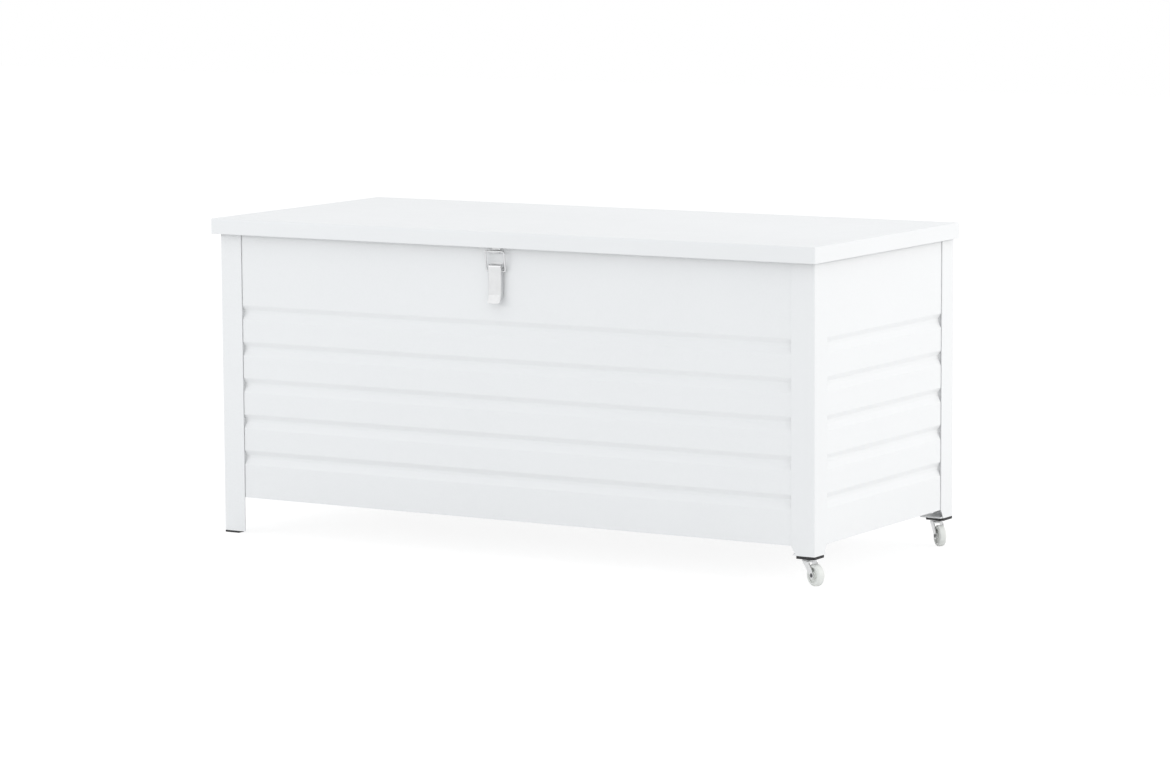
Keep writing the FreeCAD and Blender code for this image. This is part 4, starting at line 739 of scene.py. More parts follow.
class BOX_OT_stage(BuildOperator, bpy.types.Operator):
    """Set up the pale floor, the even light, the two soft lamps and the camera"""
    bl_idname = "cushion_box.stage"
    bl_label = "Studio"
    # Each lamp's size, place and the point that it is aimed at.
    lamps = {"key": ((2.6, 0.6), (5.6, 1.1, 2.4), (0.65, 0.1, 0.35)),
             "fill": ((1.8, 0.6), (-3.4, -3.7, 1.6), (0, 0, 0.35))}
    floor_half = 14.0

    def execute(self, context):
        sizes = context.scene.box_studio
        self.camera(sizes)
        self.light(sizes)
        self.floor(sizes)
        context.scene.view_settings.view_transform = "Standard"
        return {"FINISHED"}

    def camera(self, sizes):
        """Stand the camera at its place: the view runs along (-sin yaw cos pitch, cos yaw cos pitch, -sin
        pitch), and the roll turns its right and its up about that."""
        yaw, pitch, roll = sizes.camera_yaw, sizes.camera_pitch, sizes.camera_roll
        view = np.array([-math.sin(yaw) * math.cos(pitch), math.cos(yaw) * math.cos(pitch), -math.sin(pitch)])
        right = np.array([math.cos(yaw), math.sin(yaw), 0.0])
        above = np.cross(right, view)
        right, above = (math.cos(roll) * right + math.sin(roll) * above,
                        math.cos(roll) * above - math.sin(roll) * right)
        data = bpy.data.cameras.new("camera")
        data.sensor_width, data.lens = 36.0, sizes.camera_lens
        data.clip_start, data.clip_end = 0.1, 100.0
        made = bpy.data.objects.new("camera", data)
        place = Matrix(np.stack([right, above, -view], 1).tolist()).to_4x4()
        place.translation = sizes.camera_place
        made.matrix_world = place
        bpy.context.scene.collection.objects.link(made)
        bpy.context.scene.camera = made

    def light(self, sizes):
        """An even world that shows as white, and the two soft lamps, each turned from straight down to its
        aim."""
        world = bpy.data.worlds.new("studio")
        bpy.context.scene.world = world
        world.use_nodes = True
        tree = world.node_tree
        tree.nodes.clear()
        even = add(tree, "ShaderNodeBackground", {"Color": (*sizes.sky_tint, 1), "Strength": sizes.sky})
        white = add(tree, "ShaderNodeBackground", {"Color": (1, 1, 1, 1), "Strength": 1.0})
        self.camera_mix(tree, even, white, add(tree, "ShaderNodeOutputWorld"))
        for name, (size, place, aim) in self.lamps.items():
            data = bpy.data.lights.new(name, "AREA")
            data.energy, data.color = getattr(sizes, name), getattr(sizes, name + "_tint")
            data.shape = "RECTANGLE"
            data.size, data.size_y = size
            lamp = bpy.data.objects.new(name, data)
            lamp.location = place
            away = np.array(place) - np.array(aim)
            lamp.rotation_euler = (math.acos(away[2] / np.linalg.norm(away)), 0,
                                   math.atan2(away[1], away[0]) + math.pi / 2)
            bpy.context.scene.collection.objects.link(lamp)

    def camera_mix(self, tree, lit, seen, end):
        """One shader for the light that falls on things, another for what the camera and reflections see."""
        path, mix = add(tree, "ShaderNodeLightPath"), add(tree, "ShaderNodeMixShader")
        either = add(tree, "ShaderNodeMath", operation="MAXIMUM")
        wire(tree, (path, "Is Camera Ray", either, 0), (path, "Is Glossy Ray", either, 1),
             (either, 0, mix, 0), (lit, 0, mix, 1), (seen, 0, mix, 2), (mix, 0, end, "Surface"))

    def floor(self, sizes):
        """A flat square under the box. The camera sees it lifted towards white, less the box's shadow."""
        mesh = bpy.data.meshes.new("studio_floor")
        corners = np.array([(-1, -1, 0), (1, -1, 0), (1, 1, 0), (-1, 1, 0)]) * self.floor_half
        mesh.from_pydata(corners, [], [(0, 1, 2, 3)])
        made = bpy.data.objects.new("studio_floor", mesh)
        paint = bpy.data.materials.new("studio_floor")
        paint.use_nodes = True
        tree = paint.node_tree
        tree.nodes.clear()
        pale = np.array(sizes.floor_colour)
        matt = add(tree, "ShaderNodeBsdfDiffuse", {"Color": (*pale, 1)})
        faint = add(tree, "ShaderNodeBsdfDiffuse", {"Color": (*pale * sizes.floor_shown, 1)})
        glow = add(tree, "ShaderNodeEmission", {"Color": (1, 1, 1, 1), "Strength": sizes.floor_lift})
        both = add(tree, "ShaderNodeAddShader")
        wire(tree, (faint, 0, both, 0), (glow, 0, both, 1))
        self.camera_mix(tree, matt, both, add(tree, "ShaderNodeOutputMaterial"))
        mesh.materials.append(paint)
        bpy.context.scene.collection.objects.link(made)


class BOX_OT_walls(BuildOperator, bpy.types.Operator):
    """Press the four grooved wall panels"""
    bl_idname = "cushion_box.walls"
    bl_label = "Walls"
    # From a post's flange edge inwards: how far, the share of the slot's depth and that of a groove's depth.
    ends = ((-0.009, 0, 0.04), (-0.004, 0, 0.5), (-0.002, 1, 0.75), (0.0002, 1, 1), (0.0008, 0, 1))

    def execute(self, context):
        """The section is carried along the wall. Towards a post it sinks by the slot, and then its grooves
        fade."""
        s = context.scene.box_sheet
        away, slot, deep = np.array(self.ends).T
        slot = np.concatenate([[0], slot, slot[::-1], [0]])[:, None, None] * s.panel_slot
        deep = np.concatenate([deep[:1], deep, deep[::-1], deep[:1]])
        for name, along, out in (("front_panel", X, -Y), ("rear_panel", X, Y), ("left_end_panel", Y, -X),
                                 ("right_end_panel", Y, X)):
            low, high = span(name)
            face = (high if out.sum() > 0 else low) @ np.abs(out) * np.sign(out.sum())
            near, far = span("post_front_left")[1] @ along, span("post_rear_right")[0] @ along
            stations = np.concatenate([[low @ along], near + away, far - away[::-1], [high @ along]])
            lines = np.array([self.section(s, low[2], high[2], part) for part in deep])
            depths, ups = lines[..., :1], lines[..., 1:]
            rings = (face - slot - depths) * out + ups * Z + stations[:, None, None] * along
            piece(name + "_sheet", [skin(rings)], [name])
        return {"FINISHED"}

    def section(self, s, bottom, top, deep):
        """The panel's section, depth across and height up: a flat face with grooves of two slopes and a flat
        bed, and the same line one sheet deeper, every bend rounded. A groove has a share of its full
        depth."""
        high = top - s.groove_drop - np.arange(s.groove_count)[:, None] * s.groove_pitch
        low = high - s.groove_height
        ups = np.concatenate([high, high - s.groove_upper_slope, low + s.groove_lower_slope, low], 1).ravel()
        depths = np.tile([0, deep, deep, 0], s.groove_count) * s.groove_depth
        face = np.stack([np.concatenate([[0], depths, [0]]), np.concatenate([[top], ups, [bottom]])], 1)
        outline = np.concatenate([face, face[::-1] + (s.panel_sheet, 0)])
        bends = np.concatenate([[s.cut_edge], np.full(len(depths), s.groove_bend), [s.cut_edge]])
        return softened(outline, np.concatenate([bends, bends[::-1]]))


def angle_section(s, width):
    """An angle with equal flanges, its outer corner at the start: the bend rounded outside and, by half a
    sheet less, inside, the cut edges softened."""
    t, e = s.post_sheet, s.cut_edge
    line = [(0, 0), (width, 0), (width, t), (t, t), (t, width), (0, width)]
    return softened(line, (s.post_bend, e, e, s.post_bend - 0.5 * t, e, e))


class BOX_OT_posts(BuildOperator, bpy.types.Operator):
    """Bend the four corner posts, the right ones tapered over their castors"""
    bl_idname = "cushion_box.posts"
    bl_label = "Corner posts"

    def execute(self, context):
        """The angle section is carried up the post. Over a castor its flanges widen in a straight line from
        the post's end to the panel's lower edge."""
        s = context.scene.box_sheet
        taper_top = span("front_panel")[0][2]
        for end, way in SIDES:
            for row, depth_way in ROWS:
                name = f"post_{row}_{end}"
                low, high = span(name)
                flange = high[0] - low[0]
                corner = np.where((way > 0, depth_way > 0, False), high, low) * LEVEL
                levels = [(low[2], flange), (high[2], flange)]
                if way > 0:
                    levels[:1] = [(low[2], s.post_end_flange), (taper_top, flange),
                                  (taper_top + MILLIMETRE, flange)]
                rings = []
                for height, width in levels:
                    line = angle_section(s, width)
                    rings.append(corner - way * line[:, :1] * X - depth_way * line[:, 1:] * Y + height * Z)
                piece(name + "_sheet", [skin(rings)], [name])
        return {"FINISHED"}


class BOX_OT_rails(BuildOperator, bpy.types.Operator):
    """Bend the angle rails under the rim and under the floor"""
    bl_idname = "cushion_box.rails"
    bl_label = "Rails"

    def execute(self, context):
        """Each rail is the angle section carried straight along its wall."""
        for prefix, way_up in (("base_rail", 1), ("rim_rail", -1)):
            for side, out in (("front", -Y), ("rear", Y), ("left", -X), ("right", X)):
                name = f"{prefix}_{side}"
                low, high = span(name)
                along = np.abs(np.cross(out, Z))
                corner = np.where(out > 0, high, low) * np.abs(out) + (low if way_up > 0 else high) * Z
                line = angle_section(context.scene.box_sheet, high[2] - low[2])
                rail = bar(line, corner, -out, way_up * Z, along, (low @ along, high @ along))
                piece(name + "_sheet", [rail], [name])
        return {"FINISHED"}


class BOX_OT_floor_sheet(BuildOperator, bpy.types.Operator):
    """Press the box's floor sheet with its stiffening beads"""
    bl_idname = "cushion_box.floor_sheet"
    bl_label = "Floor sheet"

    def execute(self, context):
        """The sheet's rise is bead * cos squared across a bead, faded in by a smooth step from the plain
        borders at the sheet's front and rear."""
        s = context.scene.box_sheet
        low, high = span("floor_panel")
        middles = np.linspace(low[0], high[0], s.floor_beads + 2)[1:-1]
        across = np.linspace(-0.5, 0.5, 9) * s.floor_bead_width
        x = np.concatenate([[low[0]], (middles[:, None] + across).ravel(), [high[0]]])
        border = np.concatenate([[0], s.floor_border + np.linspace(0, s.floor_fade, 7)])
        y = np.concatenate([low[1] + border, high[1] - border[::-1]])
        gap = np.abs(x[:, None] - middles).min(1) / s.floor_bead_width
        hump = np.where(gap < 0.5, np.cos(np.pi * np.clip(gap, 0, 0.5)) ** 2, 0)
        inward = (np.minimum(y - low[1], high[1] - y) - s.floor_border) / s.floor_fade
        rise = s.floor_bead * hump[:, None] * smooth_step(inward)[None, :]
        gx, gy = np.meshgrid(x, y, indexing="ij")
        top = np.stack([gx, gy, high[2] + rise], -1)
        under = np.stack([gx, gy, low[2] + rise], -1)[:, ::-1]
        piece("floor_sheet", [skin(np.concatenate([top, under], 1))], ["floor_panel"])
        return {"FINISHED"}


class BOX_OT_lid(BuildOperator, bpy.types.Operator):
    """Fold the lid: its flat top, the bend, the skirt and the hem inside"""
    bl_idname = "cushion_box.lid"
    bl_label = "Lid"
    tightest = 0.0002  # least radius of the lid's corners, for the rings inside

    def execute(self, context):
        """The lid's section is carried round a rounded rectangle: a ring stands off it by the section's
        distance and lies at the section's height."""
        s = context.scene.box_sheet
        low, high = span("lid_shell")
        half, middle = (high - low)[:2] / 2, (low + high) / 2 * LEVEL
        t, bend, e, gap = s.lid_sheet, s.lid_bend, s.cut_edge, s.hem_gap
        top, foot = high[2], low[2]
        fold = 2 * t + gap
        section = [(-2 * bend, top), (0, top), (0, foot), (-fold, foot), (-fold, foot + s.lid_hem),
                   (-t - gap, foot + s.lid_hem), (-t - gap, foot + t), (-t, foot + t), (-t, top - t),
                   (-2 * bend, top - t)]
        radii = (0, bend, 0.48 * fold, 0.48 * fold, e, e, 0, 0, bend - t, 0)
        rings = []
        for away, height in softened(section, radii):
            reach = half + away
            square = [reach * way for way in ((1, 1), (-1, 1), (-1, -1), (1, -1))]
            line = softened(square, max(bend + away, self.tightest), 5)
            rings.append(middle + line[:, :1] * X + line[:, 1:] * Y + height * Z)
        piece("lid_sheet", [skin(rings)], ["lid_shell"])
        for side, _ in SIDES:
            self.stiffener(s, "lid_stiffener_" + side)
        return {"FINISHED"}

    def stiffener(self, s, name):
        """A channel open towards the lid, its bends rounded."""
        low, high = span(name)
        w, h, t, e = (high[0] - low[0]) / 2, high[2] - low[2], s.lid_sheet, s.cut_edge
        outer, inner = s.channel_bend, s.channel_bend - t
        line = [(-w, 0), (-w, -h), (w, -h), (w, 0), (w - t, 0), (w - t, t - h), (t - w, t - h), (t - w, 0)]
        line = softened(line, (e, outer, outer, e, e, inner, inner, e))
        channel = bar(line, (low + high) / 2 * X + high * Z, X, Z, Y, (low[1], high[1]))
        piece(name + "_sheet", [channel], [name])


class BOX_OT_bumpers(BuildOperator, bpy.types.Operator):
    """Mould the rubber bumpers between rim and lid"""
    bl_idname = "cushion_box.bumpers"
    bl_label = "Bumpers"

    def execute(self, context):
        """Each bumper is turned: a flared foot, a tapering side, a rounded rim and a dished screw well."""
        s = context.scene.box_fasteners
        low, high = span("lid_bumpers")
        wide, well, tall = s.bumper_foot, s.bumper_well, high[2] - low[2]
        rows = [(0, 0, 0), (wide, 0, 0.0003), (wide, s.bumper_flange, 0.0006), (s.bumper_tip, tall, 0.0012),
                (well, tall, 0.0006), (well - 0.0005, tall - well, 0.0004), (0, tall - well, 0)]
        made = []
        for y in (low[1] + wide, high[1] - wide):
            for x in (low[0] + wide, (low[0] + high[0]) / 2, high[0] - wide):
                made.append(lathe(rows, (x, y, low[2]), Z, 28))
        piece("bumpers_moulded", made, ["lid_bumpers"])
        return {"FINISHED"}


class BOX_OT_feet(BuildOperator, bpy.types.Operator):
    """Mould the black foot pads and the plugs that hold them in the left posts"""
    bl_idname = "cushion_box.feet"
    bl_label = "Feet"

    def execute(self, context):
        """Two plates on each other: the tread, and the plug that stands in the post's corner and laps it a
        little."""
        s = context.scene.box_castors
        sheet = context.scene.box_sheet.post_sheet
        for row, way in ROWS:
            name = "foot_pad_" + row
            low, high = span(name)
            tread = rectangle(low, high, s.pad_corner)
            tread = plate(tread, s.foot_height, s.pad_edge, (0, 0, low[2]), X, Y, Z)
            start = low[0] + sheet
            inner = low[1] + sheet if way < 0 else high[1] - sheet - s.plug_depth
            plug = rectangle((start, inner), (start + s.plug_width, inner + s.plug_depth), MILLIMETRE)
            seat = s.foot_height - s.plug_lap
            plug = plate(plug, high[2] - seat, 0.0008, (0, 0, seat), X, Y, Z)
            piece(name + "_moulded", [tread, plug], [name])
        return {"FINISHED"}


class BOX_OT_castors(BuildOperator, bpy.types.Operator):
    """Make the two castors: seat plates, pads, swivel rings, forks, axles and wheels"""
    bl_idname = "cushion_box.castors"
    bl_label = "Castors"

    def execute(self, context):
        s = context.scene.box_castors
        for row, _ in ROWS:
            swivel, _ = joint("castor_swivel_" + row)
            centre, axle = joint("wheel_spin_" + row)
            self.seat(s, row)
            self.ring(s, "castor_ring_" + row, swivel)
            self.fork(s, "castor_fork_" + row, swivel, centre)
            name, reach = "castor_axle_" + row, s.wheel_width / 2 + s.fork_gap + s.fork_sheet
            pin = headed_pin(s.axle, reach, s.axle_head, 0.0015, 0.6, centre, axle)
            piece(name + "_turned", pin, [name])
            self.wheel(s, "castor_wheel_" + row, centre, axle)
        return {"FINISHED"}

    def seat(self, s, row):
        """The light plate in the post and the black pad below it."""
        for name, corner, edge in (("castor_plate_" + row, MILLIMETRE, 0.0003),
                                   ("castor_pad_" + row, s.pad_corner, s.pad_edge)):
            low, high = span(name)
            made = plate(rectangle(low, high, corner), high[2] - low[2], edge, (0, 0, low[2]), X, Y, Z)
            piece(name + "_square", [made], [name])

    def ring(self, s, name, swivel):
        """The swivel ring, turned with a race groove, over the stem and its peened head."""
        low, high = span(name)
        foot, top, under, waist = low[2], high[2], high[2] - s.ring_height, high[2] - s.ring_height / 2
        r, head, e = s.ring_radius, s.stem_head, 0.0002
        rows = [(0, foot, 0), (head * 0.7, foot, 0.0005), (head, foot + 0.0009, 0.0004),
                (head, foot + 0.002, e), (s.stem, foot + 0.002, e), (s.stem, under, e), (r - 0.001, under, e),
                (r, under + 0.0005, e), (r - 0.0005, waist, e), (r, top - 0.0005, e), (r - 0.0006, top, e),
                (0, top, 0)]
        piece(name + "_turned", [lathe(rows, swivel * LEVEL, Z, 40)], [name])

    def fork(self, s, name, swivel, centre):
        """A sheet bent to an arch across the wheel. Its two side edges are functions of the height: a circle
        round the axle below, straight flanks above it, and the crown's circle on top, blended by a smooth
        step over the bend."""
        roof = span(name)[1][2]
        trail = (centre - swivel) * LEVEL
        reach = np.linalg.norm(trail)
        ahead = trail / reach
        wide = np.cross(Z, ahead)
        half = s.wheel_width / 2 + s.fork_gap + s.fork_sheet / 2
        top, foot = roof - s.fork_sheet / 2, centre[2] - s.boss
        line, _ = bent_line([(-half, foot), (-half, top), (half, top), (half, foot)],
                            (0, s.fork_bend, s.fork_bend, 0), s.boss)
        flat_half = half - 1.4 * s.fork_bend
        crown = np.linspace(-flat_half, flat_half, 13)
        flat = np.stack([crown, np.full(len(crown), top)], 1)
        left, right = line[line[:, 0] < -flat_half - 1e-5], line[line[:, 0] > flat_half + 1e-5]
        w, z = np.concatenate([left, flat, right]).T
        circle = np.sqrt(np.maximum(s.boss ** 2 - (z - centre[2]) ** 2, 0))
        flank = (centre[2], roof - 2 * s.fork_sheet, roof)
        back = np.where(z < centre[2], reach - circle,
                        np.interp(z, flank, (reach - s.boss, -s.leg_back, -s.leg_back)))
        front = np.where(z < centre[2], reach + circle,
                         np.interp(z, flank, (reach + s.boss, s.leg_front, s.leg_front)))
        round_ = np.sqrt(np.maximum(s.crown_radius ** 2 - w ** 2, 0))
        blend = smooth_step((z - top) / s.crown_blend + 1)
        back, front = back + blend * (-round_ - back), front + blend * (round_ - front)
        run = swivel * LEVEL + w[:, None] * wide + z[:, None] * Z
        piece(name + "_pressed", [strip(run, s.fork_sheet, back, front, ahead, 0.0004)], [name])

    def wheel(self, s, name, centre, axle):
        """Turned about the axle: tread with rounded shoulders, a step down to the web on each face, and the
        hub."""
        half, web, r, shoulder = s.wheel_width / 2, s.web / 2, s.wheel_radius, s.shoulder
        inner = r - s.rim
        near = [(s.axle + BEARING, -half, 0.0003), (s.hub, -half, 0.0008), (s.hub + 0.0004, -web, 0.0006),
                (inner - 0.0006, -web, 0.0012), (inner, -half, 0.0006), (r - shoulder, -half, 0.0012),
                (r, shoulder - half, 0.002)]
        far = [(across, -up, bend) for across, up, bend in reversed(near)]
        piece(name + "_moulded", [lathe(near + far, centre, axle, 64, closed=True)], [name])


class BOX_OT_hinges(BuildOperator, bpy.types.Operator):
    """Roll the three hinges: body leaf, lid leaf and pin, with their screws"""
    bl_idname = "cushion_box.hinges"
    bl_label = "Hinges"

    def execute(self, context):
        s = context.scene.box_fasteners
        axis, _ = joint("lid_hinge")
        wall_face, lid_face = span("rear_panel")[1][1], span("lid_shell")[1][1]
        pins, wall_screws, lid_screws = [], [], []
        for place in HINGE_PLACES:
            low, high = span("hinge_leaf_body_" + place)
            middle = np.array([(low[0] + high[0]) / 2, axis[1], axis[2]])
            half = (high[0] - low[0]) / 2
            self.wall_leaf(s, "hinge_leaf_body_" + place, middle, half, wall_face - axis[1])
            self.lid_leaf(s, "hinge_leaf_lid_" + place, middle, half, lid_face - axis[1])
            reach = half + 0.0004
            pins.append(disc(s.pin_radius, -reach, reach, 0.0007, middle, X, 20))
            for way in (-1, 1):
                across = middle[0] + way * s.screw_step / 2
                wall_screws += self.screw(s, (across, wall_face + s.leaf_sheet,
                                              axis[2] - (s.body_leaf + s.leaf_step) / 2))
                lid_screws += self.screw(s, (across, lid_face + s.leaf_sheet,
                                             axis[2] + (s.lid_leaf + s.leaf_step) / 2))
        piece("hinge_pins_turned", pins, ["hinge_pins"])
        piece("hinge_screws_wall", wall_screws, ["hinge_screws_body"])
        piece("hinge_screws_lid_set", lid_screws, ["hinge_screws_lid"])
        return {"FINISHED"}

    def screw(self, s, seat):
        """A screw with its seat on a leaf's outer face, going forwards into the sheet."""
        return [recessed_head(s.screw_head, s.screw_rise, s.dome, s.recess_depth, s.recess_width, seat, Y),
                threaded(s.screw, s.screw_length, s.thread_pitch, seat, -Y)]

    def knuckle(self, s, start):
        """A knuckle's middle line: an arc about the pin, of 290 degrees from its start."""
        a = np.radians(np.linspace(start, start + 290, 30))
        return (s.knuckle_radius - s.leaf_sheet / 2) * np.stack([np.cos(a), np.sin(a)], 1)

    def leaf(self, s, name, middle, plate_line, tab_line, half, tabs):
        """A plate with rounded corners at its free end, and tabs that go on from it and roll round the
        pin."""
        made = [strap(plate_line, 0, middle, (Y, Z), s.leaf_sheet, -half, half, X, (s.leaf_corner, 0))]
        for low, high in tabs:
            made.append(strip(middle + tab_line @ np.stack([Y, Z]), s.leaf_sheet, low, high, X))
        piece(name + "_rolled", made, [name])

    def wall_leaf(self, s, name, middle, half, wall):
        """The body leaf's tabs step out under the pin before they roll."""
        y, level = wall + s.leaf_sheet / 2, s.leaf_sheet / 2 - s.leaf_step
        step, _ = bent_line([(y, -s.leaf_step), (y, level), (-0.001, level)], (0, 0.0009, 0))
        tab = np.concatenate([step, self.knuckle(s, -84)])
        inner = s.tab_half + s.knuckle_gap
        line = [(y, -s.body_leaf), (y, -s.leaf_step)]
        self.leaf(s, name, middle, line, tab, half, ((-half, -inner), (inner, half)))

    def lid_leaf(self, s, name, middle, half, lid):
        """The lid leaf's tab goes straight down beside the pin and rolls."""
        y = lid + s.leaf_sheet / 2
        tab = np.concatenate([[(y, s.leaf_step), (y, 0.0015)], self.knuckle(s, 184)])
        line = [(y, s.lid_leaf), (y, s.leaf_step)]
        self.leaf(s, name, middle, line, tab, half, ((-s.tab_half, s.tab_half),))


class BOX_OT_corner_screws(BuildOperator, bpy.types.Operator):
    """Drive the screws that hold the walls to the posts, from inside"""
    bl_idname = "cushion_box.corner_screws"
    bl_label = "Corner screws"

    def execute(self, context):
        """In each corner, one screw stands in the upper flat of each wall and one between each two
        grooves."""
        s, sheet = context.scene.box_fasteners, context.scene.box_sheet
        low, high = span("corner_screws")
        top = span("front_panel")[1][2]
        tops = top - sheet.groove_drop - np.arange(sheet.groove_count - 1) * sheet.groove_pitch
        heights = [top - sheet.groove_drop / 2, *(tops - (sheet.groove_pitch + sheet.groove_height) / 2)]
        bite = s.corner_bite + sheet.panel_sheet
        first, last = span("post_front_left")[0] + s.corner_inset, span("post_rear_right")[1] - s.corner_inset
        (left, front, _), (right, rear, _) = low + bite, high - bite
        seats = [seat for x in (first[0], last[0]) for seat in ((x, front, -Y), (x, rear, Y))]
        seats += [seat for y in (first[1], last[1]) for seat in ((left, y, -X), (right, y, X))]
        made = []
        for z in heights:
            for x, y, out in seats:
                made.append(recessed_head(s.corner_head, s.corner_rise, s.dome, s.corner_recess_depth,
                                          s.corner_recess_width, (x, y, z), -out))
                made.append(disc(s.corner_shank, 0, bite, PIN_RIM, (x, y, z), out, 12))
        piece("corner_screws_driven", made, ["corner_screws"])
        return {"FINISHED"}


class BOX_OT_gas_springs(BuildOperator, bpy.types.Operator):
    """Make the two gas springs and their brackets"""
    bl_idname = "cushion_box.gas_springs"
    bl_label = "Gas springs"

    def execute(self, context):
        s = context.scene.box_springs
        for side, way in SIDES:
            foot, _ = joint("gas_tilt_" + side)
            head, _ = joint("gas_rod_turn_" + side)
            shut = np.linalg.norm(head - foot)
            along = (head - foot) / shut
            self.cylinder(s, "gas_cylinder_" + side, foot, along, shut)
            self.rod(s, "gas_rod_" + side, head, along)
            self.wall_bracket(s, "gas_bracket_wall_" + side, way, foot)
            self.lid_bracket(s, "gas_bracket_lid_" + side, way, head)
        return {"FINISHED"}

    def eye(self, s, at):
        """A flat ring round the stud, its rims rounded."""
        half, bore, bend = s.eye_width / 2, s.stud + BEARING, 0.0003
        rows = [(bore, -half, bend), (s.eye, -half, 0.001), (s.eye, half, 0.001), (bore, half, bend)]
        return lathe(rows, at, X, closed=True)

    def cylinder(self, s, name, foot, along, shut):
        """Turned: neck, rounded shoulder, tube, a groove and a rolled mouth, and the bore that the rod and
        piston slide in."""
        end, hollow = shut - s.rod_stub, shut - s.rod_length - s.end_gap
        guide, inner, waist = s.rod + s.gap, s.tube - s.wall, s.tube - 0.0008
        rows = [(0, s.neck, 0), (s.rod, s.neck, 0.0005), (s.rod, s.tube_start, 0.001),
                (s.tube, s.tube_start, 0.0025), (s.tube, end - 0.009, 0.0006), (waist, end - 0.008, 0.0005),
                (waist, end - 0.0065, 0.0005), (s.tube, end - 0.0055, 0.0006), (s.tube, end, 0.0022),
                (guide, end, 0.0005), (guide, end - s.guide, 0.0003), (inner, end - s.guide, 0.0003),
                (inner, hollow, 0.0005), (0, hollow, 0)]
        piece(name + "_turned", [lathe(rows, foot, along, 40), self.eye(s, foot)], [name])

    def rod(self, s, name, head, along):
        """Turned: the rod with a crimped collar at its eye, and the piston at its inner end."""
        wide, collar, back = s.tube - s.wall - s.gap, s.rod + 0.001, s.rod_length - s.piston
        rows = [(0, s.neck, 0), (collar, s.neck, 0.0005), (collar, s.collar_end, 0.0004),
                (s.rod, s.collar_end + MILLIMETRE, 0.0003), (s.rod, back, 0.0003), (wide, back, 0.0005),
                (wide, s.rod_length, 0.0005), (0, s.rod_length, 0)]
        piece(name + "_turned", [lathe(rows, head, -along), self.eye(s, head)], [name])

    def wall_bracket(self, s, name, way, foot):
        """A strip from floor to rim, with a turned boss, stud and retaining head."""
        low, high = span(name)
        outer = high[0] if way > 0 else low[0]
        x, corners = outer - way * s.sheet / 2, (s.bracket_corner, s.bracket_corner)
        made = [strap([(x, low[2]), (x, high[2])], 0, 0, (X, Z), s.sheet, low[1], high[1], Y, corners)]
        eye = s.eye_width / 2 + s.gap
        reach = abs(outer - foot[0]) - s.sheet / 2
        rows = [(0, -eye - 0.0015, 0), (s.stud_head, -eye - 0.0015, 0.0006), (s.stud_head, -eye, 0.0003),
                (s.stud, -eye, 0.0001), (s.stud, eye, 0.0001), (s.boss, eye, 0.0008), (s.boss, reach, 0),
                (0, reach, 0)]
        made.append(lathe(rows, foot, way * X))
        piece(name + "_made", made, [name])

    def lid_bracket(self, s, name, way, head):
        """An angle bent from one sheet: its plate under the lid, its ear cut round the stud."""
        low, high = span(name)
        eye = s.eye_width / 2 + s.gap
        ear = head[0] - way * (eye + s.sheet / 2)
        edge = low[0] if way > 0 else high[0]
        top, half = high[2] - s.sheet / 2, (high[1] - low[1]) / 2
        line, cuts = bent_line([(edge, top), (ear, top), (ear, head[2] - s.boss)], (0, 0.0025, 0), s.boss)
        wide = np.interp(top - line[:, 1], (0.0, 0.0025, 0.006), (half, half, s.boss))
        below = head[2] - line[:, 1]
        wide = np.where(below > 0, np.sqrt(np.maximum(s.boss ** 2 - below ** 2, 0)), wide)
        wide = wide - corner_cut(cuts, s.bracket_corner)
        made = [strip(line @ np.stack([X, Z]), s.sheet, head[1] - wide, head[1] + wide, Y)]
        rows = [(0, -eye - 0.001, 0), (s.stud, -eye - 0.001, 0.0001), (s.stud, eye, 0.0001),
                (s.stud_head, eye, 0.0003), (s.stud_head, eye + 0.0015, 0.0006), (0, eye + 0.0015, 0)]
        made.append(lathe(rows, head, way * X))
        piece(name + "_bent", made, [name])


class BOX_OT_latch_base(BuildOperator, bpy.types.Operator):
    """Make the latch's base with its ears, rivets and pin"""
    bl_idname = "cushion_box.latch_base"
    bl_label = "Latch base"

    def execute(self, context):
        """The plate and the two ears are strips with rounded ends, the rivets and the pin are turned."""
        s = context.scene.box_latch
        pin, _ = joint("latch_lever_turn")
        low, high = span("latch_base")
        face, t, e, corners = high[1], s.lever_sheet, s.ear_radius, (s.base_corner, s.base_corner)
        half, root = s.base_width / 2, high[1] - s.base_sheet / 2
        made = [strap([(root, low[2]), (root, high[2])], 0, pin * X, (Y, Z), s.base_sheet, -half, half, X,
                      corners)]
        for hand in (-1, 1):
            side = hand * (half - t / 2)
            ear = [(side - hand * s.ear_root, root), (side, root), (side, pin[1] - e)]
            made.append(strap(ear, (0, 0.0014, 0), pin * X, (X, Y), t, pin[2] - e, pin[2] + e, Z, (0, e)))
        piece("latch_base_pressed", made, ["latch_base"])
        back = face + context.scene.box_sheet.panel_sheet
        rivets = []
        for index in range(2):
            z = pin[2] - s.rivet_drop - index * s.rivet_step
            seat = np.array([pin[0], face - s.base_sheet, z])
            rivets += [domed_head(s.rivet_head, s.rivet_height, 0.7, seat, -Y),
                       disc(s.rivet, 0, back - seat[1], PIN_RIM, seat, Y, 16),
                       domed_head(s.rivet_head, s.rivet_height, 0.5, (pin[0], back, z), Y)]
        piece("latch_rivets_set", rivets, ["latch_rivets"])
        made = headed_pin(s.pin_radius, s.lever_half + 0.0003, s.pin_head, 0.001, 0.7, pin, X)
        piece("latch_pin_turned", made, ["latch_pin"])
        return {"FINISHED"}


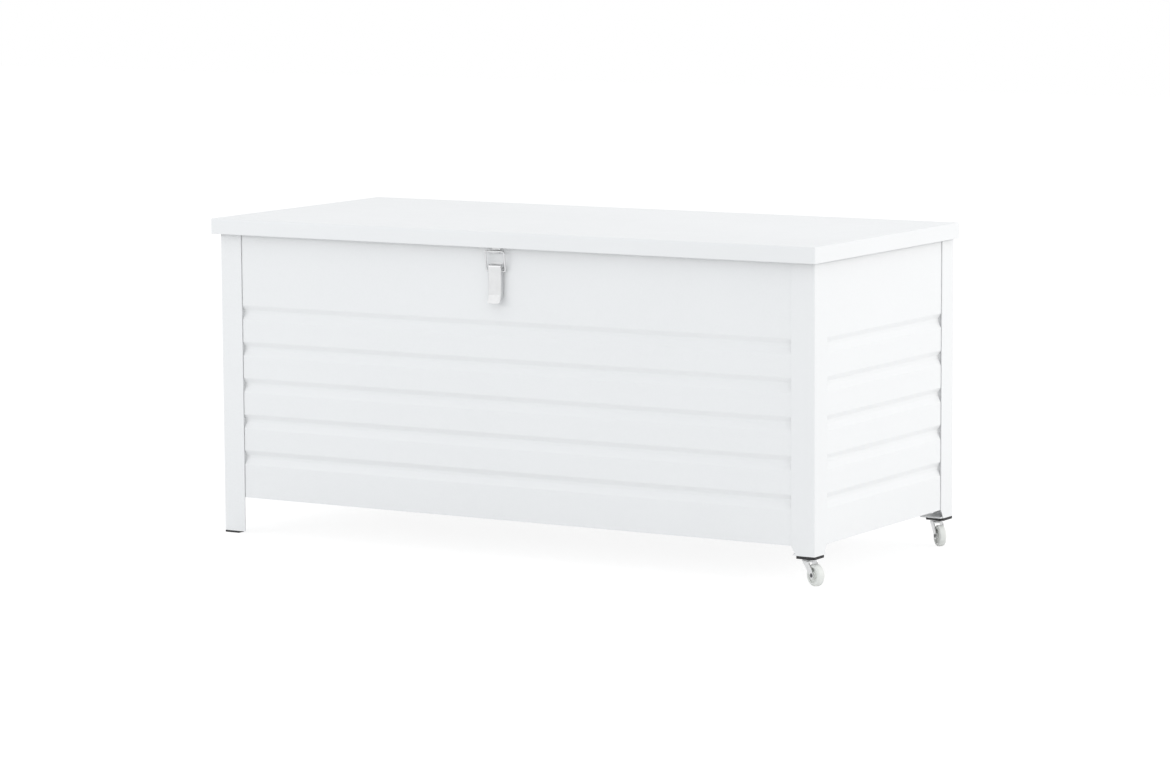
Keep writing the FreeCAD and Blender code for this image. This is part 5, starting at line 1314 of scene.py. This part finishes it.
class BOX_OT_latch_lever(BuildOperator, bpy.types.Operator):
    """Press the latch's lever: a channel with two cheeks and a finger lip bent outwards"""
    bl_idname = "cushion_box.latch_lever"
    bl_label = "Latch lever"
    wrap = (100, 180)  # degrees about the pin over which the channel is bent round it
    run_in = (0.0016, 0.002)  # below the end of that bend: where the cheeks start, and have their full depth

    def execute(self, context):
        """A channel carried down a line that starts over the pin, as an arc about it, and bends out at the
        crease. Its section is a U whose cheeks reach in by one depth down to the crease and run out beside
        the lip; over the pin and at the lip's end it is a flat strip. Beside the pin each cheek goes on as a
        strip, cut round it."""
        s = context.scene.box_latch
        pin, _ = joint("latch_lever_turn")
        t, web = s.lever_sheet, s.lever_web
        a = np.radians(np.linspace(*self.wrap, 9))
        over = web * np.stack([np.cos(a), np.sin(a)], 1)
        line, way = bent_line([*over, (-web, -s.lever_crease), (-web - s.lip_reach, -s.lever_length)],
                              (0,) * len(over) + (0.0015, 0), s.lip_corner)
        start = web * (a[-1] - a[0])
        places = (*self.run_in, s.cheek_shoulder, s.cheek_end, s.cheek_end + t)
        extra = start + np.concatenate([places[:2], np.linspace(*places[2:4], 8), places[4:]])
        stations = np.unique(np.round(np.concatenate([way, extra]), 6))
        line = np.stack([np.interp(stations, way, value) for value in line.T], 1)
        full = web + s.cheek_depth
        deep = np.interp(stations - start, places, (t, full, full, s.cheek_step, t))
        steps = np.gradient(line, axis=0)
        steps /= np.linalg.norm(steps, axis=1, keepdims=True)
        inward = np.stack([-steps[:, 1], steps[:, 0]], 1)
        half = s.lever_half - corner_cut(stations[-1] - stations, s.lip_corner)
        half = half - np.where(stations < start + sum(self.run_in) / 2, t / 2, 0)
        rings = []
        for (y, z), (ny, nz), depth, wide in zip(line, inward, deep, half):
            ring = self.section(s, depth, max(wide, 0.002))
            rings.append(pin + ring[:, :1] * X + (y + ring[:, 1:] * ny) * Y + (z + ring[:, 1:] * nz) * Z)
        made = [skin(rings)]
        for hand in (-1, 1):
            side = hand * (s.lever_half - t / 2)
            heights = s.cheek_boss * np.sin(np.linspace(0.2, math.pi / 2, 9))
            heights = np.concatenate([[-s.lever_start, 0], heights])
            circle = np.sqrt(np.maximum(s.cheek_boss ** 2 - heights ** 2, 0))
            outer = np.where(heights < 0, -web + s.bend, -circle)
            inner = np.where(heights < 0, s.cheek_depth, circle)
            made.append(strip(pin + side * X + heights[:, None] * Z, t, outer, inner, Y, 0.0002))
        piece("latch_lever_pressed", made, ["latch_lever"])
        return {"FINISHED"}

    def section(self, s, depth, wide):
        """A U of one depth: across and inwards, its bends rounded. At the sheet's own thickness it is a flat
        bar."""
        t, e = s.lever_sheet, 0.0002
        inner, bend = wide - t, min(s.bend, depth * 0.45)
        # At the sheet's own thickness there is no bed: its two corners lie on the rim, beside the other two.
        flat = depth - t < 1e-5
        bed, floor = (inner * 0.9, depth) if flat else (inner, t)
        line = [(-wide, depth), (-wide, 0), (wide, 0), (wide, depth), (inner, depth), (bed, floor),
                (-bed, floor), (-inner, depth)]
        rim, fillet = (e, 0.0003) if depth > 2 * t else (0, 0)
        return softened(line, (e, bend, bend, e, rim, fillet, fillet, rim), 4, 0.0003)


class BOX_OT_latch_bow(BuildOperator, bpy.types.Operator):
    """Bend the latch's wire bow"""
    bl_idname = "cushion_box.latch_bow"
    bl_label = "Latch bow"

    def execute(self, context):
        """A round wire along a rectangle with rounded corners, open below, leaning out by the bow's tilt."""
        s = context.scene.box_latch
        pivot, _ = joint("latch_bow_turn")
        half, tall = s.bow_half, s.bow_height
        start = s.lever_half - s.lever_sheet - s.bow_play
        corners = [(-start, 0), (-half, 0), (-half, tall), (half, tall), (half, 0), (start, 0)]
        line = without_repeats(softened(corners, (0, *[s.bow_bend] * 4, 0), 8))
        up = math.cos(s.bow_tilt) * Z - math.sin(s.bow_tilt) * Y
        path = pivot + line[:, :1] * X + line[:, 1:] * up
        piece("latch_bow_wire", [tube(path, s.wire, np.cross(X, up), 20)], ["latch_bow"])
        return {"FINISHED"}


class BOX_OT_latch_catch(BuildOperator, bpy.types.Operator):
    """Bend the catch that hangs from the lid and takes the bow"""
    bl_idname = "cushion_box.latch_catch"
    bl_label = "Latch catch"

    def execute(self, context):
        """One strip: a flange under the lid, a neck down, a hook outwards and a lip up."""
        s = context.scene.box_latch
        low, high = span("latch_catch")
        face, t = span("front_panel")[0][1], s.catch_sheet
        pivot, _ = joint("latch_bow_turn")
        bar_y = pivot[1] - s.bow_height * math.sin(s.bow_tilt)
        tip = bar_y + s.wire + s.hook_play + t / 2
        neck, top, hook = face - s.catch_neck - t / 2, high[2] - t / 2, low[2] + t / 2
        lip = pivot[2] + s.bow_height * math.cos(s.bow_tilt) + s.hook_lip
        corners = [(low[1], top), (neck, top), (neck, hook), (tip, hook), (tip, lip)]
        half = (high[0] - low[0]) / 2
        made = strap(corners, (0, 0.0018, 0.0012, 0.0012, 0), pivot * X, (Y, Z), t, -half, half, X,
                     (0.002, 0.0025))
        piece("latch_catch_bent", [made], ["latch_catch"])
        return {"FINISHED"}


class BOX_OT_coatings(BuildOperator, bpy.types.Operator):
    """Give the CAD pieces the finishes of their slots"""
    bl_idname = "cushion_box.coatings"
    bl_label = "Coatings"

    def execute(self, context):
        for name, thing in frame["nodes"].items():
            for place in thing.material_slots:
                place.material = finishes()[SLOTS[name]]
        return {"FINISHED"}


# ---------------------------------------------------------------- panel and registration

OPERATORS = (BOX_OT_stage, BOX_OT_walls, BOX_OT_posts, BOX_OT_rails, BOX_OT_floor_sheet, BOX_OT_lid,
             BOX_OT_bumpers, BOX_OT_feet, BOX_OT_castors, BOX_OT_hinges, BOX_OT_corner_screws,
             BOX_OT_gas_springs, BOX_OT_latch_base, BOX_OT_latch_lever, BOX_OT_latch_bow, BOX_OT_latch_catch,
             BOX_OT_coatings)
GROUPS = {"box_sheet": SheetSizes, "box_fasteners": FastenerSizes, "box_latch": LatchSizes,
          "box_castors": CastorSizes, "box_springs": SpringSizes, "box_finishes": FinishColours,
          "box_studio": StudioSizes}


class BOX_PT_builder(bpy.types.Panel):
    """Sidebar panel with a button for each group of pieces and the sizes and colours below them"""
    bl_label = "Cushion box"
    bl_idname = "BOX_PT_builder"
    bl_space_type = "VIEW_3D"
    bl_region_type = "UI"
    bl_category = "Cushion box"

    def draw(self, context):
        for operator in OPERATORS:
            self.layout.operator(operator.bl_idname)
        for name, kind in GROUPS.items():
            box = self.layout.box()
            for prop in kind.__annotations__:
                box.prop(getattr(context.scene, name), prop)


def register():
    for kind in (*GROUPS.values(), *OPERATORS, BOX_PT_builder):
        bpy.utils.register_class(kind)
    for name, kind in GROUPS.items():
        setattr(bpy.types.Scene, name, bpy.props.PointerProperty(type=kind))


def unregister():
    for name in GROUPS:
        delattr(bpy.types.Scene, name)
    for kind in (BOX_PT_builder, *reversed(OPERATORS), *reversed(GROUPS.values())):
        bpy.utils.unregister_class(kind)


def main():
    """Register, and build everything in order."""
    register()
    for operator in OPERATORS:
        family, name = operator.bl_idname.split(".")
        getattr(getattr(bpy.ops, family), name)()


if __name__ == "__main__":
    main()
